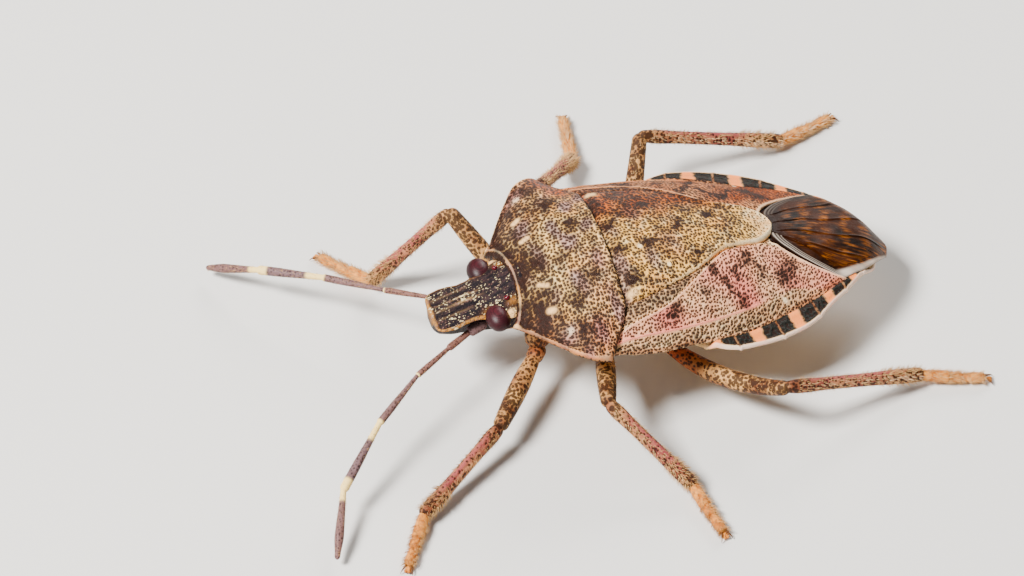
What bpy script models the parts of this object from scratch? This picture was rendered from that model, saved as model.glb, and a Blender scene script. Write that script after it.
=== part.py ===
"""A shield bug at life size, still, standing on its six feet.

Lengths are in millimetres until put_mesh turns them into metres. While it is built, the
head's tip is at y = 0, the tail points to +Y, the insect's left is +X and the floor is z = 0.
At the end everything is moved so that the box around the insect stands on the origin.
"""
import math

import bmesh
import bpy
import numpy as np
from mathutils import Vector

# Driving dimensions
MM = 0.001
GAP = 0.26            # space kept between neighbouring pieces
PLATE = 0.50          # thickness of the plates of the back
THIN_EDGE = 0.28      # thickness of the wings at their outer edge
BODY_LENGTH = 15.0

# The back: distance from the head's tip, half width, height on the midline, height at the edge
BACK = (
    (0.0, 0.62, 2.62, 2.56),
    (1.3, 0.90, 3.05, 2.80),
    (2.35, 1.66, 3.42, 3.08),
    (3.3, 3.02, 3.95, 3.40),
    (3.85, 3.70, 4.20, 3.52),
    (4.35, 3.96, 4.38, 3.46),
    (5.2, 3.70, 4.55, 3.10),
    (6.3, 3.68, 4.60, 2.90),
    (7.7, 3.56, 4.48, 2.80),
    (9.0, 3.34, 4.22, 2.72),
    (10.3, 2.98, 3.82, 2.58),
    (11.4, 2.58, 3.42, 2.48),
    (12.6, 2.05, 2.98, 2.46),
    (13.6, 1.54, 2.54, 2.30),
    (14.4, 0.92, 2.04, 1.90),
    (15.0, 0.25, 1.42, 1.36),
)

# Head
HEAD_WIDTHS = ((0.04, 0.50), (0.16, 0.72), (0.40, 0.85), (0.80, 0.88), (1.30, 0.84), (1.52, 0.77),
               (1.64, 0.72), (2.36, 0.72))
HEAD_RIM = 0.34
HEAD_KEEL = ((0.04, 2.20), (0.5, 1.98), (1.3, 1.86), (2.4, 1.80))
HEAD_KEEL_SHARE = 0.56
EYE_CENTRE = (1.17, 1.95, 3.03)
EYE_RADIUS = (0.40, 0.39, 0.36)
EYE_ROOT = 0.98       # the eye's flat inner face

# Pronotum, the shield behind the head, with the first pair of legs under it
COLLAR_MIDDLE = 2.73
COLLAR_SIDE = 2.32
SHIELD_REAR = 5.46
SHIELD_CORNER = 4.55
SHIELD_CORNER_SHARE = 0.64
SHIELD_DEEP = 0.50    # share of the length that reaches down to the belly
SHIELD_WALL = 0.60    # share of the length where the wall behind it meets the thin plate
SHIELD_RIM = 0.28

# Scutellum, the tongue between the wings
SCUTELLUM_FRONT = SHIELD_REAR + GAP
SCUTELLUM_WIDTHS = ((5.5, 2.38), (6.8, 2.08), (8.2, 1.58), (9.2, 1.06), (9.9, 0.88), (10.5, 0.72),
                    (10.85, 0.50), (11.02, 0.28), (11.1, 0.10))

# Wings: the leathery fore wing ends at the seam, and its clear membrane lies behind the seam
WING_APEX = (1.86, 13.0)
SEAM_START = 11.0
WING_SHOULDER = 4.92
MEMBRANE_FRONT = 11.36
MEMBRANE_WIDTHS = ((11.36, 0.38), (12.0, 0.70), (12.6, 1.10), (13.04, 1.46), (13.35, 1.60),
                   (13.6, 1.54), (14.0, 1.27), (14.4, 0.92), (14.75, 0.56), (15.0, 0.20))
MEMBRANE_SPLIT = ((11.36, 0.30), (12.0, 0.26), (13.0, 0.46), (14.0, 0.46), (14.8, 0.20))
LEFT_MEMBRANE = (12.1, 14.6)
VEIN_COUNT = 6
VEIN_HEIGHT = 0.05

# Belly
BELLY_KEEL = ((2.3, 1.62), (3.6, 1.50), (6.5, 1.46), (8.0, 1.16), (10.0, 1.04), (12.5, 0.98),
              (13.6, 1.10), (14.4, 1.26))
THORAX_END = 7.62
THORAX_HALF_WIDTH = 3.05
THORAX_FRONT_SPAN = 3.85   # half width of the back where the thorax begins
ABDOMEN = (THORAX_END + GAP, 14.32)
ABDOMEN_WIDTHS = ((7.88, 3.74), (8.55, 3.90), (9.5, 3.86), (10.6, 3.60), (11.7, 3.10), (12.3, 2.65),
                  (12.95, 2.16), (13.6, 1.52), (14.0, 1.12), (14.32, 0.76))
RIM_THICKNESS = 0.22
RIM_STEP = 0.02       # how far the abdomen's rim lies below the wing's edge
THINNEST = 0.24
SEGMENT_ENDS = (8.85, 10.4, 11.78, 12.93, 13.72)
SEGMENT_NOTCH = 0.07

# Legs: base point, lengths of femur, tibia and foot, then the angles of each side's pose
COXA_RADIUS = 0.36
COXA_REACH = 0.30
FEMUR_RADIUS = 0.29
HIND_FEMUR_BOW = 0.55   # how far the middle of the hind femur sags below its ends
TIBIA_RADIUS = 0.25
FOOT_RADIUS = 0.25
ANKLE_HEIGHT = 0.36
TOE_HEIGHT = 0.20
CLAW_LENGTH = 0.42
# The foot's three joints: share of its length, share of its radius, height of its middle line
FOOT_PROFILE = ((0.0, 0.92, 0.34), (0.08, 1.0, 0.30), (0.20, 1.0, 0.235), (0.38, 1.0, 0.225),
                (0.46, 0.80, 0.22), (0.52, 0.92, 0.21), (0.60, 0.92, 0.21), (0.66, 0.76, 0.20),
                (0.74, 0.86, 0.19), (0.92, 0.84, 0.18), (1.0, 0.56, 0.19))
LEG_PAIRS = {
    "front": ((1.15, 3.28, 1.43), (3.34, 3.83, 2.04)),
    "middle": ((1.29, 5.30, 1.40), (3.61, 3.60, 2.05)),
    "hind": ((1.64, 6.87, 1.22), (4.93, 5.15, 2.07)),
}
# For each leg: femur's turn towards the tail, femur's rise, tibia's turn, foot's turn, degrees
LEG_POSES = {
    "left_front": (-38.3, -6.0, -54.2, -30.0),
    "left_middle": (-14.9, 13.0, 41.2, 10.4),
    "left_hind": (38.3, 10.3, 100.7, 74.7),
    "right_front": (-35.6, 35.0, -76.4, -38.6),
    "right_middle": (-4.7, 10.7, 38.4, 8.6),
    "right_hind": (23.4, 10.8, 87.0, 70.0),
}

# Antennae: the ends of the five segments on each side
ANTENNA_RADIUS = 0.25
ANTENNA_TIP = 0.14
ANTENNA_JOINTS = {
    "left": ((0.88, 0.94, 1.96), (1.12, 0.36, 2.16), (1.93, -0.89, 2.12), (3.21, -2.47, 1.77),
             (4.96, -4.11, 1.09), (7.02, -4.90, 0.36)),
    "right": ((-0.88, 0.94, 1.96), (-1.15, 0.40, 2.12), (-1.97, -0.82, 1.96), (-3.28, -2.42, 1.66),
              (-4.60, -4.14, 1.16), (-5.88, -5.49, 0.36)),
}

# Beak, folded back under the body
BEAK_RADIUS = 0.23
BEAK_START = 0.62
BEAK_END = 6.5

# Materials: colour, roughness, metallic
MATERIALS = {
    "mottled_shell": ((0.30, 0.21, 0.12), 0.45, 0.0),
    "wing_leather": ((0.42, 0.24, 0.17), 0.45, 0.0),
    "wing_membrane": ((0.12, 0.07, 0.03), 0.20, 0.0),
    "belly_shell": ((0.55, 0.42, 0.25), 0.45, 0.0),
    "eye_gloss": ((0.06, 0.01, 0.02), 0.15, 0.0),
    "leg_shell": ((0.40, 0.24, 0.14), 0.50, 0.0),
    "foot_shell": ((0.62, 0.34, 0.13), 0.50, 0.0),
    "antenna_shell": ((0.24, 0.15, 0.09), 0.50, 0.0),
}


def smooth(stations, place, column=1):
    """A smooth curve through the stations, read at the given places."""
    table = np.array(stations)
    knots = table[:, 0]
    values = table[:, column]
    slopes = np.gradient(values, knots)
    place = np.clip(place, knots[0], knots[-1])
    cell = np.clip(np.searchsorted(knots, place, side="right") - 1, 0, len(knots) - 2)
    span = knots[cell + 1] - knots[cell]
    t = (place - knots[cell]) / span
    rise = values[cell + 1] - values[cell]
    start = slopes[cell] * span
    end = slopes[cell + 1] * span
    return values[cell] + t * start + t ** 2 * (3 * rise - 2 * start - end) \
        + t ** 3 * (start + end - 2 * rise)


def ease(value, low, high):
    """Zero below low, one above high, smooth between."""
    t = np.clip((value - low) / (high - low), 0.0, 1.0)
    return t * t * (3.0 - 2.0 * t)


def back_height(x, y):
    """Height of the insect's back above the floor."""
    across = np.clip(np.abs(x) / smooth(BACK, y, 1), 0.0, 1.0)
    middle = smooth(BACK, y, 2)
    edge = smooth(BACK, y, 3)
    return edge + (middle - edge) * (1.0 - across ** 2) ** 0.85


def belly_height(x, y, half_width, edge):
    """Height of the underside: a low keel between the legs, a round belly behind them."""
    across = np.clip(np.abs(x) / half_width, 0.0, 1.0)
    roundness = 0.42 + 1.5 * ease(y, 8.6, 11.0)
    keel = smooth(BELLY_KEEL, y)
    return keel + (edge - keel) * across ** roundness


def make_material(name):
    colour, roughness, metallic = MATERIALS[name]
    material = bpy.data.materials.new(name)
    material.use_nodes = True
    shader = material.node_tree.nodes["Principled BSDF"]
    shader.inputs["Base Color"].default_value = (*colour, 1.0)
    shader.inputs["Roughness"].default_value = roughness
    shader.inputs["Metallic"].default_value = metallic
    return material


def put_mesh(name, bm, material):
    """Turn the bmesh into a named object, in metres, with its faces pointing outwards."""
    bmesh.ops.triangulate(bm, faces=bm.faces[:])
    bmesh.ops.recalc_face_normals(bm, faces=bm.faces[:])
    bmesh.ops.scale(bm, vec=(MM, MM, MM), verts=bm.verts[:])
    for face in bm.faces:
        face.smooth = True
    mesh = bpy.data.meshes.new(name)
    bm.to_mesh(mesh)
    bm.free()
    mesh.materials.append(make_material(material))
    part = bpy.data.objects.new(name, mesh)
    bpy.context.scene.collection.objects.link(part)
    return part


def add_shell(bm, top, bottom):
    """A closed block between two grids of points, both split into triangles alike."""
    rows, columns = top.shape[:2]
    upper = [[bm.verts.new(point) for point in row] for row in top]
    lower = [[bm.verts.new(point) for point in row] for row in bottom]
    for grid in (upper, lower):
        for i in range(rows - 1):
            for j in range(columns - 1):
                near, right = grid[i][j], grid[i][j + 1]
                across, left = grid[i + 1][j + 1], grid[i + 1][j]
                if 2 * j < columns - 1:
                    bm.faces.new((near, right, across))
                    bm.faces.new((near, across, left))
                else:
                    bm.faces.new((near, right, left))
                    bm.faces.new((right, across, left))
    border = [(0, j) for j in range(columns)]
    border += [(i, columns - 1) for i in range(1, rows)]
    border += [(rows - 1, j) for j in range(columns - 2, -1, -1)]
    border += [(i, 0) for i in range(rows - 2, 0, -1)]
    for this, following in zip(border, border[1:] + border[:1]):
        a, b = upper[this[0]][this[1]], upper[following[0]][following[1]]
        c, d = lower[following[0]][following[1]], lower[this[0]][this[1]]
        bm.faces.new((a, b, c, d))


def add_tube(bm, points, radii, sides, start_plane=None, end_plane=None, flatten=1.0):
    """A closed tube along the points; its ends are cut by the given planes' normals."""
    points = [Vector(point) for point in points]
    last = len(points) - 1
    rings = []
    for index, (point, radius) in enumerate(zip(points, radii)):
        before = points[index] - points[max(index - 1, 0)]
        after = points[min(index + 1, last)] - points[index]
        along = before.normalized() + after.normalized()
        along.normalize()
        side = along.cross(Vector((0.0, 0.0, 1.0))).normalized()
        up = side.cross(along)
        plane = {0: start_plane, last: end_plane}.get(index)
        ring = []
        for step in range(sides):
            turn = 2.0 * math.pi * (step + 0.5) / sides
            spot = point + side * radius * math.cos(turn) + up * radius * flatten * math.sin(turn)
            if plane is not None:
                spot += along * ((point - spot).dot(plane) / along.dot(plane))
            ring.append(bm.verts.new(spot))
        rings.append(ring)
    for first, second in zip(rings, rings[1:]):
        for step in range(sides):
            following = (step + 1) % sides
            bm.faces.new((first[step], first[following], second[following], second[step]))
    bm.faces.new(rings[0][::-1])
    bm.faces.new(rings[-1])


def join_pieces(name, pieces, material):
    """Fuse closed pieces, given as functions that fill a bmesh, into one object."""
    sources = bpy.data.collections.new(name + "_pieces")
    for number, fill in enumerate(pieces):
        bm = bmesh.new()
        fill(bm)
        piece = put_mesh(f"{name}_piece_{number}", bm, material)
        bpy.context.scene.collection.objects.unlink(piece)
        sources.objects.link(piece)
    whole = sources.objects[0].copy()
    whole.data = whole.data.copy()
    whole.name = name
    bpy.context.scene.collection.objects.link(whole)
    sources.objects.unlink(sources.objects[0])
    union = whole.modifiers.new("union", "BOOLEAN")
    union.operand_type = "COLLECTION"
    union.collection = sources
    union.operation = "UNION"
    union.solver = "EXACT"
    graph = bpy.context.evaluated_depsgraph_get()
    joined = bpy.data.meshes.new_from_object(whole.evaluated_get(graph))
    whole.modifiers.clear()
    whole.data = joined
    for piece in list(bpy.data.objects):
        if piece.name.startswith(name + "_piece_"):
            bpy.data.objects.remove(piece)
    bpy.data.collections.remove(sources)
    return whole


def plate_thickness(x, y):
    """The plates of the back thin out towards the wings' outer edge."""
    across = np.abs(x) / smooth(BACK, y, 1)
    return PLATE - (PLATE - THIN_EDGE) * ease(across, 0.75, 1.0)


def under_plates(x, y):
    return back_height(x, y) - plate_thickness(x, y) - GAP


def as_points(x, y, z):
    return np.stack(np.broadcast_arrays(x, y, z), axis=-1)


def collar_line(share):
    """Where the pronotum begins, for a share of its half width."""
    return COLLAR_MIDDLE - (COLLAR_MIDDLE - COLLAR_SIDE) * share ** 2


def shield_line(share):
    """Where the pronotum ends, for a share of its half width."""
    slope = np.clip((np.abs(share) - SHIELD_CORNER_SHARE) / (1.0 - SHIELD_CORNER_SHARE), 0.0, 1.0)
    return SHIELD_REAR + (SHIELD_CORNER - SHIELD_REAR) * slope ** 1.3


def make_head():
    """A flat plate with a rounded front, over a narrower keel that carries beak and antennae."""
    outer = np.array([0.24, 0.42, HEAD_KEEL_SHARE, HEAD_KEEL_SHARE + 0.10, 0.84, 1.0])
    share = np.concatenate([-outer[::-1], [0.0], outer])
    along = np.array([0.0, 0.05, 0.15, 0.3, 0.42, 0.52, 0.58, 0.64, 0.76, 0.88, 1.0])[:, None]
    half = smooth(HEAD_WIDTHS, along * COLLAR_MIDDLE)
    rear = collar_line(share * half[-1] / BACK[2][1]) - GAP
    front = HEAD_WIDTHS[0][0] + 0.10 * share ** 2
    y = front + (rear - front) * along
    x = share * smooth(HEAD_WIDTHS, y)
    edge = smooth(BACK, y, 3)
    middle = smooth(BACK, y, 2)
    lobe = 0.05 * ease(-np.abs(share), -0.36, -0.20) * ease(-y, -1.6, -1.0)
    top = edge + (middle - edge) * (1.0 - share ** 2) ** 0.85 + lobe
    keel = np.where(np.abs(share) <= HEAD_KEEL_SHARE, smooth(HEAD_KEEL, y), edge - HEAD_RIM)
    bm = bmesh.new()
    add_shell(bm, as_points(x, y, top), as_points(x, y, keel))
    put_mesh("head", bm, "mottled_shell")


def make_eye(side, sign):
    """A ball beside the head, cut flat where it faces the head."""
    bm = bmesh.new()
    bmesh.ops.create_uvsphere(bm, u_segments=16, v_segments=10, radius=1.0)
    bmesh.ops.scale(bm, vec=EYE_RADIUS, verts=bm.verts[:])
    centre = Vector((sign * EYE_CENTRE[0], EYE_CENTRE[1], EYE_CENTRE[2]))
    bmesh.ops.translate(bm, vec=centre, verts=bm.verts[:])
    cut_flat(bm, Vector((sign * EYE_ROOT, 0.0, 0.0)), Vector((-sign, 0.0, 0.0)))
    put_mesh(f"eye_{side}", bm, "eye_gloss")


def cut_flat(bm, point, outwards):
    """Cut the closed mesh at a plane, drop what lies outwards and close the cut."""
    geometry = bm.verts[:] + bm.edges[:] + bm.faces[:]
    cut = bmesh.ops.bisect_plane(bm, geom=geometry, plane_co=point, plane_no=outwards,
                                 clear_outer=True, dist=1e-6)
    edges = [item for item in cut["geom_cut"] if isinstance(item, bmesh.types.BMEdge)]
    bmesh.ops.holes_fill(bm, edges=edges, sides=0)


def make_pronotum():
    """The broad shield behind the head; its front part reaches down to the belly."""
    outer = np.array([0.16, 0.32, 0.47, SHIELD_CORNER_SHARE, 0.74, 0.85, 0.94, 1.0])
    share = np.concatenate([-outer[::-1], [0.0], outer])
    along = np.array([0.0, 0.08, 0.18, 0.28, 0.36, 0.43, SHIELD_DEEP, SHIELD_WALL, 0.72, 0.84, 0.94,
                      1.0])[:, None]
    front = collar_line(share)
    y = front + (shield_line(share) - front) * along
    half = smooth(BACK, y, 1)
    x = share * half
    top = back_height(x, y)
    deep = belly_height(x, y, half, smooth(BACK, y, 3) - SHIELD_RIM)
    plate = PLATE - (PLATE - SHIELD_RIM) * ease(np.abs(share), 0.8, 1.0)
    bottom = np.where(along <= SHIELD_DEEP, np.minimum(deep, top - plate), top - plate)
    bm = bmesh.new()
    add_shell(bm, as_points(x, y, top), as_points(x, y, bottom))
    put_mesh("pronotum", bm, "mottled_shell")


def make_scutellum():
    y = np.array([SCUTELLUM_FRONT, 6.1, 6.6, 7.2, 7.8, 8.4, 9.0, 9.5, 10.0, 10.4, 10.7, 10.9,
                  11.02, 11.1])[:, None]
    share = np.linspace(-1.0, 1.0, 11)
    x = share * smooth(SCUTELLUM_WIDTHS, y)
    y = y + np.zeros_like(x)
    top = back_height(x, y)
    bm = bmesh.new()
    add_shell(bm, as_points(x, y, top), as_points(x, y, top - PLATE))
    put_mesh("scutellum", bm, "mottled_shell")


def wing_patch(along, across):
    """Points of the left fore wing: from the scutellum's edge out to the wing's outer edge."""
    inner_y = SCUTELLUM_FRONT + 0.10 + (SEAM_START - SCUTELLUM_FRONT - 0.10) * along
    inner_x = smooth(SCUTELLUM_WIDTHS, inner_y) + GAP
    outer_y = WING_SHOULDER + (WING_APEX[1] - WING_SHOULDER) * along
    outer_x = smooth(BACK, outer_y, 1)
    return inner_x + (outer_x - inner_x) * across, inner_y + (outer_y - inner_y) * across


def make_wing(side, sign):
    """A leathery plate with one raised vein and the fold line beside the scutellum."""
    along = np.linspace(0.0, 1.0, 23)[:, None]
    across = np.array([0.0, 0.14, 0.24, 0.34, 0.50, 0.64, 0.74, 0.82, 0.92, 1.0])
    x, y = wing_patch(along, across)
    top = back_height(x, y)
    top = top + VEIN_HEIGHT * (np.abs(across - 0.74) < 0.01) * ease(-along, -0.8, -0.6)
    top = top - VEIN_HEIGHT * (np.abs(across - 0.24) < 0.01) * ease(-along, -0.7, -0.5)
    bottom = back_height(x, y) - plate_thickness(x, y)
    bm = bmesh.new()
    add_shell(bm, as_points(sign * x, y, top), as_points(sign * x, y, bottom))
    put_mesh(f"wing_{side}", bm, "wing_leather")


def make_membrane(side, sign):
    """The clear end of a wing, its veins raised in its own surface; the right one covers most."""
    columns = 2 * VEIN_COUNT + 1
    if side == "right":
        y = np.linspace(MEMBRANE_FRONT, MEMBRANE_WIDTHS[-1][0], 17)[:, None]
        inner = smooth(MEMBRANE_SPLIT, y) - 0.5 * GAP
    else:
        columns = VEIN_COUNT + 1
        y = np.linspace(LEFT_MEMBRANE[0], LEFT_MEMBRANE[1], 13)[:, None]
        inner = smooth(MEMBRANE_SPLIT, y) + 0.5 * GAP
    across = np.linspace(0.0, 1.0, columns)
    outer = sign * smooth(MEMBRANE_WIDTHS, y)
    x = inner + (outer - inner) * across
    y = y + np.zeros_like(x)
    ridge = VEIN_HEIGHT * (np.arange(columns) % 2)
    top = back_height(x, y)
    thickness = np.minimum(plate_thickness(x, y), PLATE - 0.16 * ease(y, 14.0, 15.0))
    bm = bmesh.new()
    add_shell(bm, as_points(x, y, top + ridge), as_points(x, y, top - thickness))
    put_mesh(f"membrane_{side}", bm, "wing_membrane")


def make_thorax():
    """The block under the wings that carries the middle and hind legs. Its front follows the
    wall behind the pronotum's deep part, one gap behind it."""
    along = np.linspace(0.0, 1.0, 9)[:, None]
    share = np.array([-1.0, -0.85, -0.65, -0.4, -0.16, 0.0, 0.16, 0.4, 0.65, 0.85, 1.0])
    x = share * THORAX_HALF_WIDTH + np.zeros_like(along)
    spread = x / THORAX_FRONT_SPAN
    length = shield_line(spread) - collar_line(spread)
    high = collar_line(spread) + length * SHIELD_WALL + GAP
    low = collar_line(spread) + length * SHIELD_DEEP + GAP
    high = high + (THORAX_END - high) * along
    low = low + (THORAX_END - low) * along
    top = under_plates(x, high)
    half = smooth(BACK, low, 1)
    edge = smooth(BACK, low, 3) - PLATE
    bottom = np.minimum(belly_height(x, low, half, edge), top - THINNEST)
    bm = bmesh.new()
    add_shell(bm, as_points(x, high, top), as_points(x, low, bottom))
    put_mesh("thorax", bm, "belly_shell")


def make_abdomen():
    """A boat under the wings; its rim stands up beside them and is notched at each segment."""
    fine = 0.05
    rows = []
    stops = (ABDOMEN[0], *SEGMENT_ENDS, ABDOMEN[1])
    for first, second in zip(stops, stops[1:]):
        rows += [first, first + fine, *np.linspace(first, second, 5)[1:-1], second - fine]
    y = np.array(rows + [ABDOMEN[1]])[:, None]
    outline = smooth(ABDOMEN_WIDTHS, y)
    cover = np.where(y < WING_APEX[1] + 0.2, smooth(BACK, y, 1), smooth(MEMBRANE_WIDTHS, y))
    rim = ease(outline - cover - GAP, 0.0, 0.12)
    notch = np.zeros_like(y)
    for end in SEGMENT_ENDS:
        notch = np.where(np.abs(y - end) < fine / 2, SEGMENT_NOTCH, notch)
    inside = np.minimum(cover, outline - 0.36)
    foot = np.minimum(cover + GAP - 0.05, outline - 0.16)
    steps = [share * inside for share in (0.0, 0.25, 0.5, 0.72, 0.88, 1.0)]
    steps += [foot, foot + 0.05, 0.5 * (foot + 0.05 + outline), outline - notch]
    x_half = np.concatenate(steps, axis=1)
    x = np.concatenate([-x_half[:, :0:-1], x_half], axis=1)
    y = y + np.zeros_like(x)
    raised = np.zeros(x_half.shape[1])
    raised[-3:] = 1.0
    raised = np.concatenate([raised[:0:-1], raised]) * rim
    low = under_plates(x, y)
    flush = smooth(BACK, y, 3) - RIM_STEP
    top = low + (np.maximum(flush, low) - low) * raised
    edge = np.where(rim > 0.5, flush - RIM_THICKNESS, low - THINNEST)
    bottom = belly_height(x, y, outline, edge)
    bottom = np.minimum(bottom, np.where(raised < 0.5, low - THINNEST, top - RIM_THICKNESS))
    bm = bmesh.new()
    add_shell(bm, as_points(x, y, top), as_points(x, y, bottom))
    put_mesh("abdomen", bm, "belly_shell")


def make_beak():
    y = np.array([BEAK_START, 1.2, 1.9, 2.6, 3.4, 4.4, 5.4, 6.1, BEAK_END])
    roof = np.minimum(smooth(HEAD_KEEL, y), smooth(BELLY_KEEL, y) + 5.0 * (y < 2.2))
    z = roof - GAP - BEAK_RADIUS
    radii = [0.9, 1.0, 1.0, 1.0, 1.0, 0.95, 0.85, 0.7, 0.4]
    points = [(0.0, place, height) for place, height in zip(y, z)]
    bm = bmesh.new()
    add_tube(bm, points, [BEAK_RADIUS * share for share in radii], 10)
    put_mesh("beak", bm, "belly_shell")


def make_antenna(side):
    """Five rods in a row, narrowed where they meet, the last one pointed."""
    joints = [Vector(joint) for joint in ANTENNA_JOINTS[side]]
    points = [joints[0]]
    radii = [0.80 * ANTENNA_RADIUS]
    for number in range(len(joints) - 1):
        first, second = joints[number], joints[number + 1]
        for share, width in ((0.14, 1.0), (0.5, 1.0), (0.88, 1.0), (1.0, 0.80)):
            points.append(first.lerp(second, share))
            radii.append(width * ANTENNA_RADIUS)
    radii[-1] = ANTENNA_TIP
    bm = bmesh.new()
    add_tube(bm, points, radii, 8)
    put_mesh(f"antenna_{side}", bm, "antenna_shell")


def heading(turn, sign):
    """Unit vector on the floor, turned from straight out of the body towards the tail."""
    angle = math.radians(turn)
    return Vector((sign * math.cos(angle), math.sin(angle), 0.0))


def leg_joints(leg):
    """Base, knee, ankle and toe of a leg, from its lengths and the angles of its pose."""
    side, pair = leg.split("_")
    sign = 1.0 if side == "left" else -1.0
    base, (femur, tibia, foot) = LEG_PAIRS[pair]
    femur_turn, rise, tibia_turn, foot_turn = LEG_POSES[leg]
    base = Vector((sign * base[0], base[1], base[2]))
    rise = math.radians(rise)
    knee = base + heading(femur_turn, sign) * femur * math.cos(rise)
    knee.z += femur * math.sin(rise)
    drop = knee.z - ANKLE_HEIGHT
    ankle = knee + heading(tibia_turn, sign) * math.sqrt(tibia ** 2 - drop ** 2)
    ankle.z = ANKLE_HEIGHT
    drop = ANKLE_HEIGHT - TOE_HEIGHT
    toe = ankle + heading(foot_turn, sign) * math.sqrt(foot ** 2 - drop ** 2)
    toe.z = TOE_HEIGHT
    return base, knee, ankle, toe


def limb_through(points, radii, sides, start_plane=None, end_plane=None):
    """A function that fills a bmesh with a tube along the points, its ends cut on the planes."""
    def fill(bm):
        add_tube(bm, points, radii, sides, start_plane, end_plane)
    return fill


def put_limb(name, fill, material):
    bm = bmesh.new()
    fill(bm)
    return put_mesh(name, bm, material)


def make_leg(leg):
    """Coxa, femur, tibia and foot, parted where they meet by cuts that halve each bend."""
    base, knee, ankle, toe = leg_joints(leg)
    thigh = (knee - base).normalized()
    shin = (ankle - knee).normalized()
    sole = (toe - ankle).normalized()
    knee_plane = (thigh + shin).normalized()
    ankle_plane = (shin + sole).normalized()
    half = 0.5 * GAP

    inward = base.x - math.copysign(0.25, base.x)
    edge = float(smooth(BACK, base.y, 3)) - PLATE
    roof = float(belly_height(inward, base.y, smooth(BACK, base.y, 1), edge)) - GAP
    root = Vector((inward, base.y, roof))
    bm = bmesh.new()
    reach = base + thigh * COXA_REACH
    sizes = [1.05 * COXA_RADIUS, COXA_RADIUS, 0.86 * COXA_RADIUS]
    add_tube(bm, [root, base, reach], sizes, 10, start_plane=Vector((0.0, 0.0, 1.0)))
    put_mesh(f"coxa_{leg}", bm, "leg_shell")

    start = base + thigh * (COXA_REACH + GAP)
    end = knee - thigh * half / thigh.dot(knee_plane)
    bow = HIND_FEMUR_BOW if leg.endswith("hind") else 0.0
    points = []
    for share in (0.0, 0.08, 0.3, 0.55, 0.8, 1.0):
        sag = 4.0 * bow * share * (1.0 - share)
        points.append(start.lerp(end, share) - Vector((0.0, 0.0, sag)))
    radii = [FEMUR_RADIUS * share for share in (0.86, 0.92, 1.0, 1.0, 0.94, 0.92)]
    put_limb(f"femur_{leg}", limb_through(points, radii, 10, None, knee_plane), "leg_shell")

    start = knee + shin * half / shin.dot(knee_plane)
    end = ankle - shin * half / shin.dot(ankle_plane)
    shares = (0.0, 0.12, 0.5, 0.92, 1.0)
    radii = [TIBIA_RADIUS * share for share in (1.04, 1.0, 1.0, 1.08, 1.08)]
    points = [start.lerp(end, share) for share in shares]
    put_limb(f"tibia_{leg}", limb_through(points, radii, 10, knee_plane, ankle_plane), "leg_shell")
    make_foot(leg, ankle + sole * half / sole.dot(ankle_plane), toe, ankle_plane)


def make_foot(leg, start, toe, ankle_plane):
    """Three joints in a row and two claws, cut flat where the foot stands on the floor."""
    sole = (toe - start).normalized()
    side = sole.cross(Vector((0.0, 0.0, 1.0))).normalized()
    points = [start]
    for share, _, height in FOOT_PROFILE[1:]:
        point = start.lerp(toe, share)
        point.z = height
        points.append(point)
    radii = [FOOT_RADIUS * width for _, width, _ in FOOT_PROFILE]
    pieces = [limb_through(points, radii, 10, ankle_plane)]
    for turn in (-1.0, 1.0):
        root = toe - sole * 0.16 + side * turn * 0.03
        bend = toe + sole * 0.20 + side * turn * 0.16 + Vector((0.0, 0.0, 0.02))
        tip = toe + sole * CLAW_LENGTH + side * turn * 0.24
        tip.z = 0.06
        pieces.append(limb_through([root, bend, tip], [0.10, 0.09, 0.03], 6))
    foot = join_pieces(f"foot_{leg}", pieces, "foot_shell")
    bm = bmesh.new()
    bm.from_mesh(foot.data)
    cut_flat(bm, Vector((0.0, 0.0, 0.0)), Vector((0.0, 0.0, -1.0)))
    bmesh.ops.triangulate(bm, faces=bm.faces[:])
    bm.to_mesh(foot.data)
    bm.free()


def centre_on_floor():
    """Stand the insect's bounding box on the origin, under one parent."""
    parts = [part for part in bpy.context.scene.objects if part.type == "MESH"]
    bpy.context.view_layer.update()
    corners = [part.matrix_world @ Vector(corner) for part in parts for corner in part.bound_box]
    low = [min(corner[axis] for corner in corners) for axis in range(3)]
    high = [max(corner[axis] for corner in corners) for axis in range(3)]
    stand = bpy.data.objects.new("shield_bug", None)
    bpy.context.scene.collection.objects.link(stand)
    stand.location = (-0.5 * (low[0] + high[0]), -0.5 * (low[1] + high[1]), -low[2])
    for part in parts:
        part.parent = stand


def main():
    for old in list(bpy.data.objects):
        bpy.data.objects.remove(old)
    make_head()
    make_pronotum()
    make_scutellum()
    make_thorax()
    make_abdomen()
    make_beak()
    for side, sign in (("left", 1.0), ("right", -1.0)):
        make_eye(side, sign)
        make_antenna(side)
        make_wing(side, sign)
        make_membrane(side, sign)
    for leg in LEG_POSES:
        make_leg(leg)
    centre_on_floor()


main()
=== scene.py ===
"""The looks of the shield bug: skins over the frame, their shell, and a plain studio.

Lengths are in millimetres in the insect's own frame: the head's tip is at y = 0, the tail
points to +Y, its left is +X and the floor is z = 0. to_metres moves points into the row frame.
"""

import math

import bpy
import numpy as np
from mathutils import Matrix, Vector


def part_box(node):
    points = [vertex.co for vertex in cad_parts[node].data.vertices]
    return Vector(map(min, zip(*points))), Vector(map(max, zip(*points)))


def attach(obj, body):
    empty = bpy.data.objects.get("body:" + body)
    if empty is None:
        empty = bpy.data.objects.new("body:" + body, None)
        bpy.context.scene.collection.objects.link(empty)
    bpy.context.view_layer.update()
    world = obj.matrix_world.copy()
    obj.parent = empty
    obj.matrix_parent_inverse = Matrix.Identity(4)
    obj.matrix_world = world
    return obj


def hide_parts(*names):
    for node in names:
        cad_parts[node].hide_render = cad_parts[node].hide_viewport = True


MM = 0.001

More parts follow.
